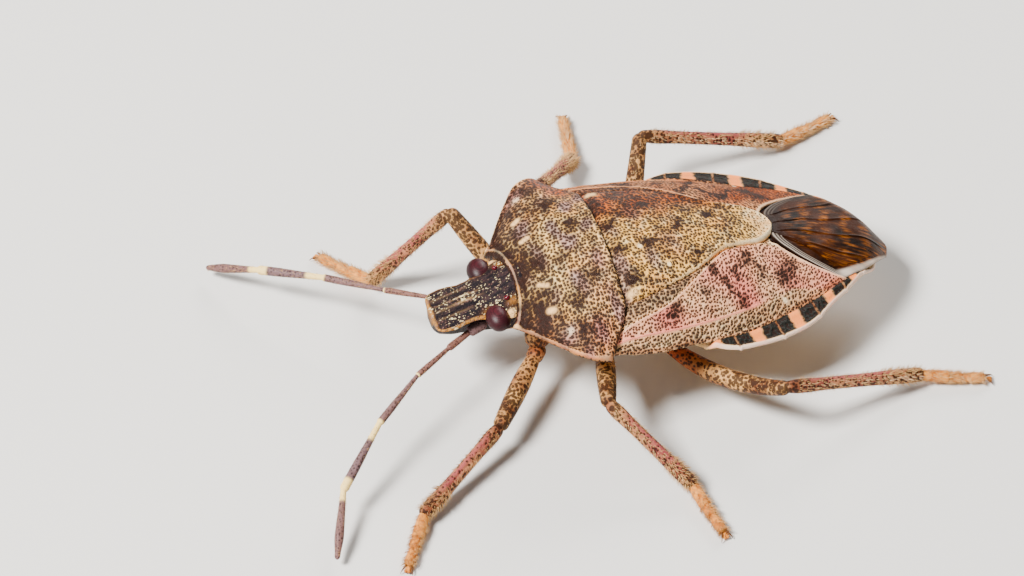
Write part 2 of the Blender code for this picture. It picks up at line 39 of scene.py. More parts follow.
# The back: distance from the head's tip, half width, height on the midline, height at the edge
BACK = (
    (0.0, 0.62, 2.62, 2.56),
    (1.3, 0.90, 3.05, 2.80),
    (2.35, 1.66, 3.42, 3.08),
    (3.3, 3.02, 3.95, 3.40),
    (3.85, 3.70, 4.20, 3.52),
    (4.35, 3.96, 4.38, 3.46),
    (5.2, 3.70, 4.55, 3.10),
    (6.3, 3.68, 4.60, 2.90),
    (7.7, 3.56, 4.48, 2.80),
    (9.0, 3.34, 4.22, 2.72),
    (10.3, 2.98, 3.82, 2.58),
    (11.4, 2.58, 3.42, 2.48),
    (12.6, 2.05, 2.98, 2.46),
    (13.6, 1.54, 2.54, 2.30),
    (14.4, 0.92, 2.04, 1.90),
    (15.0, 0.25, 1.42, 1.36),
)
BELLY_KEEL = ((2.3, 1.62), (3.6, 1.50), (6.5, 1.46), (8.0, 1.16), (10.0, 1.04), (12.5, 0.98),
              (13.6, 1.10), (14.4, 1.26))

# Head
HEAD_WIDTHS = ((0.06, 0.48), (0.10, 0.64), (0.18, 0.76), (0.40, 0.86), (0.66, 0.88), (1.10, 0.81),
               (1.45, 0.83), (1.62, 0.90), (1.95, 0.96), (2.18, 1.06), (2.36, 1.24), (2.60, 1.16),
               (2.95, 1.08))
HEAD_KEEL = ((-0.03, 2.42), (0.10, 2.20), (0.5, 1.98), (1.3, 1.86), (2.95, 1.80))
HEAD_FRONT, HEAD_REAR = HEAD_WIDTHS[0][0], HEAD_WIDTHS[-1][0]
EYE_CENTRE = (1.03, 1.95, 2.95)
EYE_RADIUS = (0.49, 0.38, 0.33)
OCELLUS = (0.66, 2.34, 0.085)

# Pronotum and scutellum
COLLAR_MIDDLE = 2.66
COLLAR_SIDE = 2.26
SHIELD_REAR = 5.60
SHIELD_CORNER = 4.72
SHIELD_CORNER_SHARE = 0.66
SCUTELLUM_WIDTHS = ((5.2, 2.50), (5.65, 2.45), (6.6, 2.24), (7.35, 2.02), (8.23, 1.66), (9.27, 1.05),
                    (9.96, 0.88), (10.5, 0.74), (10.85, 0.50), (11.02, 0.30), (11.12, 0.04))
SCUTELLUM_FRONT, SCUTELLUM_TIP = 5.3, 11.12

# Wings: where the front edge starts inside and outside, then the seam of leather and membrane
WING_FRONT = (5.35, 4.60)
WING_APEX = (1.90, 13.08)
SEAM_INNER = (0.34, 10.95)
SEAM_BOW = 0.50
WING_LENGTH = 6.5
WING_INNERMOST = 0.16
RIGHT_WING_SHIFT = 3.0
CLAVAL_FOLD = ((4.6, 3.25), (5.3, 3.05), (5.72, 2.94), (7.07, 2.52), (8.19, 1.82), (9.3, 1.02), (10.0, 0.8))
LONG_VEIN = ((4.6, 3.40), (5.67, 3.34), (7.78, 3.19), (9.18, 2.93), (10.2, 2.60), (11.2, 2.2))
MEMBRANE_WIDTHS = ((10.8, 0.55), (11.4, 1.15), (12.1, 1.65), (12.7, 1.86), (13.04, 1.80), (13.35, 1.66),
                   (13.6, 1.54), (14.0, 1.27), (14.4, 0.92), (14.75, 0.56), (14.92, 0.34), (15.0, 0.10))
MEMBRANE_FRONT, MEMBRANE_TIP = 10.9, 15.0
FAN_CENTRE = (-0.25, 9.4)
FAN_VEINS = 17.0

# Belly and its edge beside the wings
TRUNK_FRONT, THORAX_REAR, WING_END, TRUNK_TIP = 3.7, 6.6, 13.05, 14.5
THORAX_HALF_WIDTH = 3.45
ABDOMEN_WIDTHS = ((6.6, 3.36), (7.4, 3.42), (7.9, 3.54), (8.3, 3.76), (8.8, 3.91), (9.5, 3.88), (10.6, 3.64),
                  (11.7, 3.14), (12.3, 2.67), (12.95, 2.20), (13.6, 1.66), (14.0, 1.30), (14.35, 0.86),
                  (14.5, 0.50))
SEGMENT_ENDS = (7.55, 8.90, 10.42, 11.80, 12.93, 13.74)
LAST_SEGMENT_END = 14.6
BREATHING_HOLE = 0.07

# Beak: start and end of each joint, its radius, how ruddy and how dark it is, and its tip's darkness
# The first joint's darkness, 0.35, is painted shade beneath the head; the last joint's dark tip is its own
# colour.
BEAK_JOINTS = ((0.36, 1.75, 0.16, 0.8, 0.35, 0.0), (1.75, 3.40, 0.15, 0.5, 0.0, 0.0),
               (3.40, 5.10, 0.13, 0.3, 0.0, 0.0), (5.10, 6.55, 0.11, 0.3, 0.0, 0.8))

# Legs: base point, lengths of femur, tibia and foot, then the angles of each leg's pose
ANKLE_HEIGHT = 0.36
TOE_HEIGHT = 0.20
HIND_FEMUR_BOW = 0.55
LEG_PAIRS = {
    "front": ((1.15, 3.28, 1.43), (3.34, 3.83, 2.04)),
    "middle": ((1.29, 5.30, 1.40), (3.61, 3.60, 2.05)),
    "hind": ((1.64, 6.87, 1.22), (4.93, 5.15, 2.07)),
}
LEG_POSES = {
    "left_front": (-38.3, -6.0, -54.2, -30.0),
    "left_middle": (-14.9, 13.0, 41.2, 10.4),
    "left_hind": (38.3, 10.3, 100.7, 74.7),
    "right_front": (-35.6, 35.0, -76.4, -38.6),
    "right_middle": (-4.7, 10.7, 38.4, 8.6),
    "right_hind": (23.4, 10.8, 87.0, 70.0),
}
FEMUR_PROFILE = ((0, .20), (.12, .25), (.35, .30), (.6, .30), (.85, .26), (1, .23))
SHIN_PROFILE = ((0, .17), (.06, .21), (.3, .205), (.6, .21), (.9, .24), (1, .22))

# Joints of a foot: start and end as shares of its length, heights there, and radii
FOOT_JOINTS = ((-0.02, 0.46, .33, .225, (.16, .19, .20)), (0.42, 0.66, .222, .20, (.14, .165, .165)),
               (0.62, 1.0, .20, .19, (.12, .165, .15)))

# Antennae: the ends of the five segments on each side
ANTENNA_JOINTS = {
    "left": ((0.72, 1.10, 2.22), (1.12, 0.36, 2.16), (1.93, -0.89, 2.12), (3.21, -2.47, 1.77),
             (4.96, -4.11, 1.09), (7.02, -4.90, 0.36)),
    "right": ((-0.72, 1.10, 2.22), (-1.15, 0.40, 2.12), (-1.97, -0.82, 1.96), (-3.28, -2.42, 1.66),
              (-4.60, -4.14, 1.16), (-5.88, -5.49, 0.36)),
}
ANTENNA_RADII = (0.115, 0.095, 0.118, 0.145, 0.150)
ANTENNA_ROOTS = (0.85, 0.72, 0.58, 0.62, 0.62)
ANTENNA_RINGS = ((0, 0), (0, .05), (0, .06), (.26, .16), (.18, 0))
ANTENNA_RUST = (0.55, 0.5, 0.25, 0.1, 0.3)

# Camera: the floor point it looks at, its distance and its angles, in the insect's frame
LOOK_AT = (-2.753, 3.607)
DISTANCE = 242.66
AZIMUTH = 71.945
ELEVATION = 46.40
ROLL = 1.681
LENS = 271.47

THINNEST_PLATE = 0.02
THINNEST_ROD = 0.004
UPWARD = (0.0, 0.0, 1.0)


# Curves and masks

def unit(value):
    """The value, kept between zero and one."""
    return np.clip(value, 0.0, 1.0)


def smooth(stations, place, column=1):
    """Smooth curve through the stations: a cubic in each span whose slopes are the mean slopes
    at its two ends, read at the given places."""
    table = np.array(stations)
    knots, values = table[:, 0], table[:, column]
    slopes = np.gradient(values, knots)
    place = np.clip(place, knots[0], knots[-1])
    cell = np.clip(np.searchsorted(knots, place, side="right") - 1, 0, len(knots) - 2)
    span = knots[cell + 1] - knots[cell]
    t = (place - knots[cell]) / span
    rise = values[cell + 1] - values[cell]
    start, end = slopes[cell] * span, slopes[cell + 1] * span
    return (values[cell] + t * start + t ** 2 * (3 * rise - 2 * start - end)
            + t ** 3 * (start + end - 2 * rise))


def ease(value, low, high):
    """Zero below low, one above high, smooth between."""
    t = unit((value - low) / (high - low))
    return t * t * (3.0 - 2.0 * t)


def fall(value, low, high):
    """One below low, zero above high, smooth between."""
    return ease(-value, -high, -low)


def hump(value, centre, width):
    """One at the centre, falling off as a bell of that width."""
    return np.exp(-((value - centre) / width) ** 2)


def spread(count, crowd=0.6):
    """Numbers from 0 to 1, closer together near both ends."""
    t = np.linspace(0.0, 1.0, count)
    return t - crowd * np.sin(2.0 * np.pi * t) / (2.0 * np.pi)


def side_to_side(count, crowd):
    """Numbers from -1 to 1, closer together near the middle."""
    share = np.linspace(-1.0, 1.0, count)
    return share - crowd * np.sin(np.pi * share) / np.pi


def ripple(x, y, size, seed):
    """Gentle unevenness between about -1 and 1: a sum of eight waves in random directions,
    each about the given size long."""
    rng = np.random.default_rng(seed)
    total = 0.0
    for turn, phase, share in zip(rng.uniform(0, np.pi, 8), rng.uniform(0, 6.28, 8),
                                  rng.uniform(0.7, 1.5, 8)):
        total = total + np.sin(2 * np.pi * (x * np.cos(turn) + y * np.sin(turn)) * share / size + phase)
    return total / 4.0


def spots(x, y, places, crisp=1.0):
    """Round marks, each given by x, y and radius, soft or crisp at their rims; where they meet
    the stronger counts."""
    mark = 0.0
    for centre_x, centre_y, radius in places:
        reach = ((x - centre_x) ** 2 + (y - centre_y) ** 2) / radius ** 2
        mark = np.maximum(mark, np.exp(-reach ** crisp))
    return mark


def trail(radius, *ends, step=0.06):
    """Places for spots that follow a line through the given points."""
    ends = np.array(ends)
    places = []
    for first, second in zip(ends, ends[1:]):
        count = max(int(np.linalg.norm(second - first) / step), 1)
        places += [(*(first + (second - first) * k / count), radius) for k in range(count + 1)]
    return tuple(places)


def back_height(x, y):
    """Height of the back: an arch between the height at the edge and that on the midline."""
    across = unit(np.abs(x) / smooth(BACK, y, 1))
    edge = smooth(BACK, y, 3)
    return edge + (smooth(BACK, y, 2) - edge) * (1.0 - across ** 2) ** 0.85


def belly_height(x, y, half_width, edge):
    """Height of the underside: a low keel between the legs, a round belly behind them."""
    keel = smooth(BELLY_KEEL, y)
    return keel + (edge - keel) * unit(np.abs(x) / half_width) ** (0.42 + 1.5 * ease(y, 8.6, 11.0))


def rounded(distance, radius):
    """How far a rounded edge has dropped, at that distance in from the border."""
    return radius * (1.0 - np.sqrt(1.0 - (1.0 - unit(distance / radius)) ** 2))


def wing_edge(y):
    """Half-width of the folded wings at a row: the back's, plus what they spread over the
    belly's first banded segments."""
    return (smooth(BACK, y, 1) + 0.07 * ease(y, 7.6, 8.2) * fall(y, 12.0, 12.9)
            + 0.09 * ease(y, 8.3, 9.1) * fall(y, 9.6, 10.9))


def seam_bow(share):
    """How far the seam of a wing is bowed towards the head, at that share of its width."""
    return SEAM_BOW * (4.0 * share * (1.0 - share)) ** 0.7


def side_seams(x, y):
    """Seams on the thorax's flanks: one between its two last rings, and a short curved one round
    the mouth of the scent gland."""
    across = np.abs(x)
    ring = hump(y, 6.12 + 0.10 * (across - 2.2), 0.035)
    around = np.hypot(across - 2.15, 1.4 * (y - 6.62))
    return np.maximum(ring, 0.8 * hump(around, 0.34, 0.04) * ease(y, 6.45, 6.6))


# Directions and lines

def normal(directions):
    """The directions, brought to length one."""
    return directions / np.linalg.norm(directions, axis=-1, keepdims=True)


def square_axes(along):
    """Two directions square to the given ones: a level one to their right, and one upwards."""
    side = normal(np.cross(along, UPWARD))
    return side, np.cross(side, along)


def bowed(first, second, t, bow):
    """Points at the shares t of the way from first to second, the middle lowered by the bow."""
    points = first + (second - first) * t[:, None]
    points[:, 2] -= 4.0 * bow * t * (1.0 - t)
    return points


def ring_angles(sides):
    """Angles of a ring's points."""
    return 2.0 * np.pi * np.arange(sides) / sides


# Meshes

def as_points(x, y, z):
    """Points from three grids of coordinates."""
    return np.stack(np.broadcast_arrays(x, y, z), axis=-1)


def grid_faces(rows, columns, closed=False):
    """Quads between neighbours of a grid numbered row by row; closed joins the last column to
    the first."""
    i = np.arange(rows - 1)[:, None]
    j = np.arange(columns if closed else columns - 1)[None, :]
    near = i * columns + j
    right = i * columns + (j + 1) % columns
    return np.stack([near, right, right + columns, near + columns], axis=-1).reshape(-1, 4)


def plate(x, y, top, bottom, under=None, **masks):
    """A closed plate: two grids of points joined round their borders by a ladder of quads.
    Masks are given for the top grid; the bottom has those in under, or zero. Two more marks
    say where a point lies on the plate: its distance along its row from the middle column,
    and its distance from the head's tip."""
    top, bottom = as_points(x, y, top), as_points(x, y, bottom)
    rows, columns = top.shape[:2]
    count = rows * columns
    upper = grid_faces(rows, columns)
    index = np.arange(count).reshape(rows, columns)
    border = np.concatenate([index[0, :-1], index[:-1, -1], index[-1, :0:-1], index[:0:-1, 0]])
    following = np.roll(border, -1)
    side = np.stack([following, border, border + count, following + count], axis=-1)
    steps = np.linalg.norm(np.diff(top, axis=1, prepend=top[:, :1]), axis=2)
    sideways = np.cumsum(steps, axis=1)
    sideways = sideways - sideways[:, columns // 2:columns // 2 + 1]
    marks = {"sideways": np.tile(sideways.reshape(-1), 2) * MM,
             "lengthways": np.tile(top[:, :, 1].reshape(-1), 2) * MM}
    for name, mask in masks.items():
        both = [np.broadcast_to(value, index.shape) for value in (mask, (under or {}).get(name, 0.0))]
        marks[name] = np.stack(both).reshape(-1)
    points = np.concatenate([top.reshape(-1, 3), bottom.reshape(-1, 3)])
    return points, np.concatenate([upper, upper[:, ::-1] + count, side]), marks


def rod(rings, **masks):
    """A closed rod from rings of points: quads between rings, and a fan to the middle of the
    first and of the last ring. Each mask is given ring by ring."""
    rows, sides = rings.shape[:2]
    count = rows * sides
    j = np.arange(sides)
    k = (j + 1) % sides
    last = count - sides
    faces = [grid_faces(rows, sides, closed=True)]
    for first, second, tip in ((k, j, count), (last + j, last + k, count + 1)):
        faces.append(np.stack([first, second, np.full(sides, tip), np.full(sides, tip)], axis=-1))
    marks = {}
    for name, mask in masks.items():
        flat = np.broadcast_to(mask, (rows, sides)).reshape(-1)
        marks[name] = np.concatenate([flat, flat[:1], flat[-1:]])
    points = np.concatenate([rings.reshape(-1, 3), rings[:1].mean(1), rings[-1:].mean(1)])
    return points, np.concatenate(faces), marks


def limb_rings(centres, radii, sides, section=None, thinnest=THINNEST_ROD):
    """Rings of points round a path: each ring stands square to the path's direction, with the
    given radius times the section's value at that angle."""
    side, up = square_axes(normal(np.gradient(centres, axis=0)))
    angle = ring_angles(sides)
    radius = np.maximum(radii, thinnest)[:, None]
    if section is not None:
        radius = radius * section(angle, np.linspace(0.0, 1.0, len(radii))[:, None])
    radius = np.broadcast_to(radius, (len(radii), sides))
    spoke = side[:, None] * np.cos(angle)[:, None] + up[:, None] * np.sin(angle)[:, None]
    return centres[:, None] + spoke * radius[:, :, None]


def round_ends(t, length, start, end):
    """Share of a rod's radius at t of its length, when its ends are rounded over the given
    distances."""
    head, tail = unit(t * length / start), unit((1.0 - t) * length / end)
    return np.sqrt(1.0 - (1.0 - head) ** 2) * np.sqrt(1.0 - (1.0 - tail) ** 2)


def limb(first, second, profile, sides, rows, ends, bow=0.0, section=None, **marks):
    """A rod from first to second: radius from the profile's stations along it, rounded over
    the given lengths at its ends, middle lowered by the bow. Each mark is a value or a function
    of the share along and the angle."""
    t = spread(rows, 0.7)
    radius = smooth(profile, t) * round_ends(t, np.linalg.norm(second - first), *ends)
    rings = limb_rings(bowed(first, second, t, bow), radius, sides, section)
    masks = {name: value(t[:, None], ring_angles(sides)) if callable(value) else value
             for name, value in marks.items()}
    return rod(rings, **masks)


def ball(rows, sides, gap):
    """Rings of points on a ball: each point's place along the poles and its two places across
    them; a small gap is left at both poles."""
    lift = np.linspace(gap, np.pi - gap, rows)[:, None]
    turn = np.linspace(0.0, 2.0 * np.pi, sides + 1)[:-1]
    return np.cos(lift), np.sin(lift) * np.cos(turn), np.sin(lift) * np.sin(turn)


def outward(points, faces):
    """The faces turned so that a closed mesh has a positive volume."""
    a, b, c, d = (points[faces[:, k]] for k in range(4))
    volume = np.einsum("ij,ij->", a, np.cross(b, c)) + np.einsum("ij,ij->", a, np.cross(c, d))
    return faces if volume > 0 else faces[:, ::-1]


def merge(pieces):
    """One mesh from several closed ones; a mask that a piece lacks is zero there."""
    starts = np.cumsum([0] + [len(points) for points, _, _ in pieces])
    faces = [outward(points, faces) + start for (points, faces, _), start in zip(pieces, starts)]
    masks = {}
    for name in sorted({name for _, _, marks in pieces for name in marks}):
        masks[name] = np.concatenate([marks.get(name, np.zeros(len(points))) for points, _, marks in pieces])
    return np.concatenate([points for points, _, _ in pieces]), np.concatenate(faces), masks


def to_metres(points):
    """Points of the insect's frame in the row frame."""
    return (points + SHIFT) * MM


def add_object(name, data):
    """Put an object with that data into the scene."""
    made = bpy.data.objects.new(name, data)
    bpy.context.scene.collection.objects.link(made)
    return made


def put_skin(name, mesh_parts, material, slot, *nodes):
    """Make the object, in metres in the row frame, and tie it to the frame."""
    points, faces, marks = mesh_parts
    faces = outward(points, faces)
    mesh = bpy.data.meshes.new(name)
    corner_lists = [tuple(dict.fromkeys(face)) for face in faces.tolist()]
    mesh.from_pydata(to_metres(points).tolist(), [], corner_lists)
    mesh.polygons.foreach_set("use_smooth", np.ones(len(faces), dtype=bool))
    for mark, values in marks.items():
        layer = mesh.attributes.new(mark, "FLOAT", "POINT")
        layer.data.foreach_set("value", np.asarray(values, dtype=np.float32))
    mesh.validate()
    mesh.update()
    mesh.materials.append(material)
    skin = add_object(name, mesh)
    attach(skin, "root")
    if nodes:
        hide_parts(*nodes)


# Node helpers

def feed(tree, socket, value):
    """Give a socket a value, a link from another socket, or the skin's mask of that name."""
    if isinstance(value, str):
        value = node(tree, "ShaderNodeAttribute", attribute_name=value).outputs["Fac"]
    if isinstance(value, bpy.types.NodeSocket):
        tree.links.new(value, socket)
    else:
        socket.default_value = value


def node(tree, kind, inputs=None, **settings):
    """Add a node; inputs maps socket names or numbers to what feeds them."""
    made = tree.nodes.new(kind)
    for key, value in settings.items():
        setattr(made, key, value)
    for key, value in (inputs or {}).items():
        feed(tree, made.inputs[key], value)
    return made


def new_group(name, inputs, outputs):
    """A node group of numbers: its tree, what it is given and what it puts out. Inputs maps
    names to default values."""
    tree = bpy.data.node_groups.new(name, "ShaderNodeTree")
    for label, default in inputs.items():
        socket = tree.interface.new_socket(name=label, in_out="INPUT", socket_type="NodeSocketFloat")
        socket.default_value = default
    for label in outputs:
        tree.interface.new_socket(name=label, in_out="OUTPUT", socket_type="NodeSocketFloat")
    return tree, tree.nodes.new("NodeGroupInput").outputs, tree.nodes.new("NodeGroupOutput").inputs


def use_group(tree, group, **inputs):
    """What a group puts out for those inputs."""
    return node(tree, "ShaderNodeGroup", inputs, node_tree=group).outputs


def maths(tree, operation, *values):
    """What a math node puts out."""
    return node(tree, "ShaderNodeMath", dict(enumerate(values)), operation=operation).outputs[0]


def vectors(tree, operation, first, second):
    """What a vector math node puts out."""
    return node(tree, "ShaderNodeVectorMath", {0: first, 1: second}, operation=operation).outputs[0]


def joined(tree, *values):
    """A vector of up to three values."""
    return node(tree, "ShaderNodeCombineXYZ", dict(enumerate(values))).outputs[0]


def own_place(tree):
    """Place on the object, in metres."""
    return node(tree, "ShaderNodeTexCoord").outputs["Object"]


def noise(tree, place, scale, detail, roughness=0.5):
    """Smooth noise at that place: its value and its colour."""
    inputs = {"Vector": place, "Scale": scale, "Detail": detail, "Roughness": roughness}
    return node(tree, "ShaderNodeTexNoise", inputs).outputs


def soft_step(tree, value, low, high):
    """Zero below low and one above high; either may be a socket."""
    inputs = {"Value": value, "From Min": low, "From Max": high}
    return node(tree, "ShaderNodeMapRange", inputs, interpolation_type="SMOOTHSTEP").outputs["Result"]


def blend(tree, share, first, second):
    """Mix two colours by a share."""
    return node(tree, "ShaderNodeMix", {0: share, 6: first, 7: second}, data_type="RGBA").outputs[2]


def mottle(tree, value, low, high, first, second):
    """The first colour where the value is below low, the second where it is above high."""
    return blend(tree, soft_step(tree, value, low, high), first, second)


def coats(tree, colour, *layers):
    """The colour under layers of others, each a share, a tint and, for some, its strength."""
    for share, tint, *strength in layers:
        if strength:
            share = maths(tree, "MULTIPLY", share, *strength)
        colour = blend(tree, share, colour, tint)
    return colour


def pit_size(tree, start, *terms, least=0.02):
    """The start plus the terms, each a value or mask and its factor, but at least the least."""
    for value, factor in terms:
        start = maths(tree, "MULTIPLY_ADD", value, factor, start)
    return maths(tree, "MAXIMUM", start, least)


def srgb(red, green, blue):
    """Linear colour from the 0 to 255 values seen on a screen."""
    linear = (((v / 255 + 0.055) / 1.055) ** 2.4 if v > 10 else v / 255 / 12.92
              for v in (red, green, blue))
    return (*linear, 1.0)


def new_material(name, roughness, gloss=0.5):
    """A material and its nodes, with constants set on the shader's own sockets."""
    material = bpy.data.materials.new(name)
    material.use_nodes = True
    shader = material.node_tree.nodes["Principled BSDF"]
    shader.inputs["Roughness"].default_value = roughness
    shader.inputs["Specular IOR Level"].default_value = gloss
    return material, material.node_tree


def painted(material, colour, height=None, distance=0.0):
    """The material with its colour and, where it has one, its relief."""
    tree = material.node_tree
    shader = tree.nodes["Principled BSDF"]
    feed(tree, shader.inputs["Base Color"], colour)
    if height is not None:
        bump = node(tree, "ShaderNodeBump", {"Height": height, "Distance": distance})
        feed(tree, shader.inputs["Normal"], bump.outputs["Normal"])
    return material


# Shared groups

def punctures_group(name, dimensions):
    """Pits of the shell: dots at the middles of jittered cells, their size by noise. Flat cells
    suit the back, solid ones suit round limbs."""
    inputs = {"Across": 5600.0, "Along": 5600.0, "Upward": 0.0, "Size": 0.36}
    tree, given, out = new_group(name, inputs, ("Pit", "Halo"))
    spot = joined(tree, "sideways", "lengthways") if dimensions == "2D" else own_place(tree)
    shake = vectors(tree, "SUBTRACT", noise(tree, own_place(tree), 2600.0, 1.0)["Color"], (0.5, 0.5, 0.5))
    shake = vectors(tree, "MULTIPLY", shake, (0.00016, 0.00016, 0.0))
    place = vectors(tree, "MULTIPLY", vectors(tree, "ADD", spot, shake),
                    joined(tree, given["Across"], given["Along"], given["Upward"]))
    cells = node(tree, "ShaderNodeTexVoronoi", {"Vector": place, "Scale": 1.0, "Randomness": 0.78},
                 voronoi_dimensions=dimensions)
    size = maths(tree, "MULTIPLY_ADD", noise(tree, own_place(tree), 4200.0, 1.0)["Fac"], 0.6, 0.68)
    size = maths(tree, "MULTIPLY", size, given["Size"])
    edge = maths(tree, "DIVIDE", cells.outputs["Distance"], size)
    for label, low, high in (("Pit", 0.72, 1.12), ("Halo", 0.8, 1.7)):
        feed(tree, out[label], maths(tree, "SUBTRACT", 1.0, soft_step(tree, edge, low, high)))
    return tree


def clouds_group():
    """Broad and fine mottling of the shell from noise."""
    tree, given, out = new_group("clouds", {"Scale": 1.0}, ("Broad", "Fine", "Grain"))
    for label, scale, detail in (("Broad", 900.0, 3.0), ("Fine", 3600.0, 3.0), ("Grain", 26000.0, 2.0)):
        scale = maths(tree, "MULTIPLY", given["Scale"], scale)
        feed(tree, out[label], noise(tree, own_place(tree), scale, detail, 0.55)["Fac"])
    return tree


def streaks_group():
    """Uneven streaks along a plate, from noise stretched over its own coordinates."""
    tree, given, out = new_group("streaks", {"Across": 9000.0, "Along": 2600.0}, ("Streak",))
    place = joined(tree, maths(tree, "MULTIPLY", "sideways", given["Across"]),
                   maths(tree, "MULTIPLY", "lengthways", given["Along"]))
    feed(tree, out["Streak"], noise(tree, place, 1.0, 3.0, 0.6)["Fac"])
    return tree


# Colours as seen, 0 to 255
PIT = srgb(34, 16, 9)
BONE = srgb(255, 232, 176)
CREAM = srgb(250, 200, 120)
OCHRE = srgb(226, 156, 74)
ROSE = srgb(244, 136, 116)
RUST = srgb(186, 84, 18)
UMBER = srgb(78, 38, 16)
# Colour of the dark markings, also used for painted shade where the dark mask stands for shade.
INK_AND_SHADE = srgb(30, 22, 24)
IVORY = srgb(255, 232, 188)
CALLUS = srgb(246, 194, 128)
LILAC = srgb(158, 128, 134)
SHEEN = 0.12


# Materials

def shell_material(name, ground, second, across, along, size, rough=0.42):
    """Punctured shell: mottled ground, tinted and darkened by the skin's masks, with dark pits
    that grow where the shell is dark."""
    material, tree = new_material(name, rough, SHEEN)
    clouds = use_group(tree, CLOUDS)
    fine = clouds["Fine"]
    size = pit_size(tree, size - 0.12, (fine, 0.24), ("dark", 0.20), ("pale", -0.9), ("bare", -0.9))
    pits = use_group(tree, PUNCTURES, Across=across, Along=along, Size=size)
    veil = maths(tree, "MULTIPLY_ADD", soft_step(tree, fine, 0.30, 0.60), 0.40, 0.45)
    # The dark coat gives the shell's own dark markings and also painted shade: on the pronotum's underside
    # and rear edge, the far wing and the far half of the scutellum.
    colour = coats(tree, mottle(tree, clouds["Broad"], 0.35, 0.65, ground, second),
                   (soft_step(tree, fine, 0.45, 0.70), BONE, 0.6),
                   ("haze", LILAC), ("rose", ROSE), ("rust", RUST), ("dark", INK_AND_SHADE, veil),
                   (pits["Halo"], UMBER, 0.45), ("pale", IVORY), (pits["Pit"], PIT, 0.94),
                   ("callus", CALLUS))
    height = maths(tree, "MULTIPLY_ADD", pits["Halo"], -1.0, clouds["Grain"])
    return painted(material, colour, height, 0.000035)


def head_material():
    """Nearly black head with pale grains of uneven size in lengthwise streaks, golden along
    the cheeks' edge."""
    material, tree = new_material("head_grains", 0.5, SHEEN)
    clouds = use_group(tree, CLOUDS)
    fine = clouds["Fine"]
    streak = use_group(tree, STREAKS, Across=9000.0, Along=2600.0)["Streak"]
    size = pit_size(tree, -0.42, (streak, 1.1), (fine, 0.3), ("dark", -0.26), ("pale", 0.34))
    grains = use_group(tree, PUNCTURES, Across=11500.0, Along=8600.0, Size=size)
    tint = mottle(tree, fine, 0.42, 0.66, srgb(112, 78, 72), BONE)
    colour = coats(tree, mottle(tree, streak, 0.40, 0.66, srgb(18, 12, 17), srgb(54, 38, 38)),
                   ("rust", srgb(190, 122, 32)), ("pale", CALLUS, 0.35), (grains["Pit"], tint, 0.68),
                   ("callus", CALLUS))
    height = maths(tree, "MULTIPLY_ADD", grains["Halo"], 1.0, clouds["Grain"])
    return painted(material, colour, height, 0.00004)


def membrane_material():
    """Thin brown horn: nearly black at the root, painted golden sheen streaked along the veins, painted
    silvery glint at the edge.
    """
    material, tree = new_material("wing_membrane", 0.38, 0.06)
    clouds = use_group(tree, CLOUDS)
    streak = use_group(tree, STREAKS, Across=21000.0, Along=2400.0)["Streak"]
    # golden is painted golden sheen; the silver coat below is a painted glint.
    golden = mottle(tree, streak, 0.40, 0.66, srgb(60, 24, 2), srgb(184, 104, 24))
    colour = coats(tree, mottle(tree, clouds["Broad"], 0.35, 0.65, srgb(16, 5, 1), srgb(52, 20, 2)),
                   ("streak", golden), ("dark", srgb(14, 6, 4)), ("silver", srgb(240, 222, 204)))
    height = maths(tree, "MULTIPLY_ADD", clouds["Grain"], 0.3, clouds["Fine"])
    return painted(material, colour, height, 0.00002)


def belly_material():
    """Pale shell of the underside and of the banded edge beside the wings."""
    material, tree = new_material("belly_shell", 0.45, SHEEN)
    clouds = use_group(tree, CLOUDS)
    size = pit_size(tree, 0.13, ("band", 0.25), ("pitted", 0.22), ("pale", -0.3), ("rose", -0.12),
                    least=0.01)
    pits = use_group(tree, PUNCTURES, Across=7600.0, Along=7600.0, Size=size)
    colour = coats(tree, mottle(tree, clouds["Broad"], 0.3, 0.7, srgb(226, 190, 140), srgb(206, 160, 104)),
                   ("rose", srgb(248, 138, 64)), ("band", srgb(26, 26, 22)), ("rust", srgb(132, 66, 26)),
                   ("pale", srgb(252, 220, 200)), ("spiracle", srgb(20, 14, 12)), (pits["Pit"], PIT, 0.85))
    height = maths(tree, "MULTIPLY_ADD", pits["Halo"], -0.8, clouds["Grain"])
    return painted(material, colour, height, 0.000022)


def eye_material():
    """Dark wine-red gloss over small facets."""
    material, tree = new_material("eye_gloss", 0.42, 0.22)
    inputs = {"Vector": own_place(tree), "Scale": 30000.0, "Randomness": 0.2}
    facets = node(tree, "ShaderNodeTexVoronoi", inputs).outputs["Distance"]
    clouds = use_group(tree, CLOUDS)
    colour = mottle(tree, clouds["Broad"], 0.3, 0.7, srgb(28, 6, 11), srgb(70, 22, 30))
    colour = mottle(tree, facets, 0.40, 0.70, colour, srgb(22, 5, 9))
    return painted(material, colour, maths(tree, "SUBTRACT", 1.0, facets), 0.000003)


def bead_material():
    """Ruby beads of the simple eyes."""
    material, tree = new_material("ocellus_bead", 0.15, 0.4)
    clouds = use_group(tree, CLOUDS, Scale=3.0)
    return painted(material, blend(tree, clouds["Fine"], srgb(36, 3, 10), srgb(104, 12, 30)))


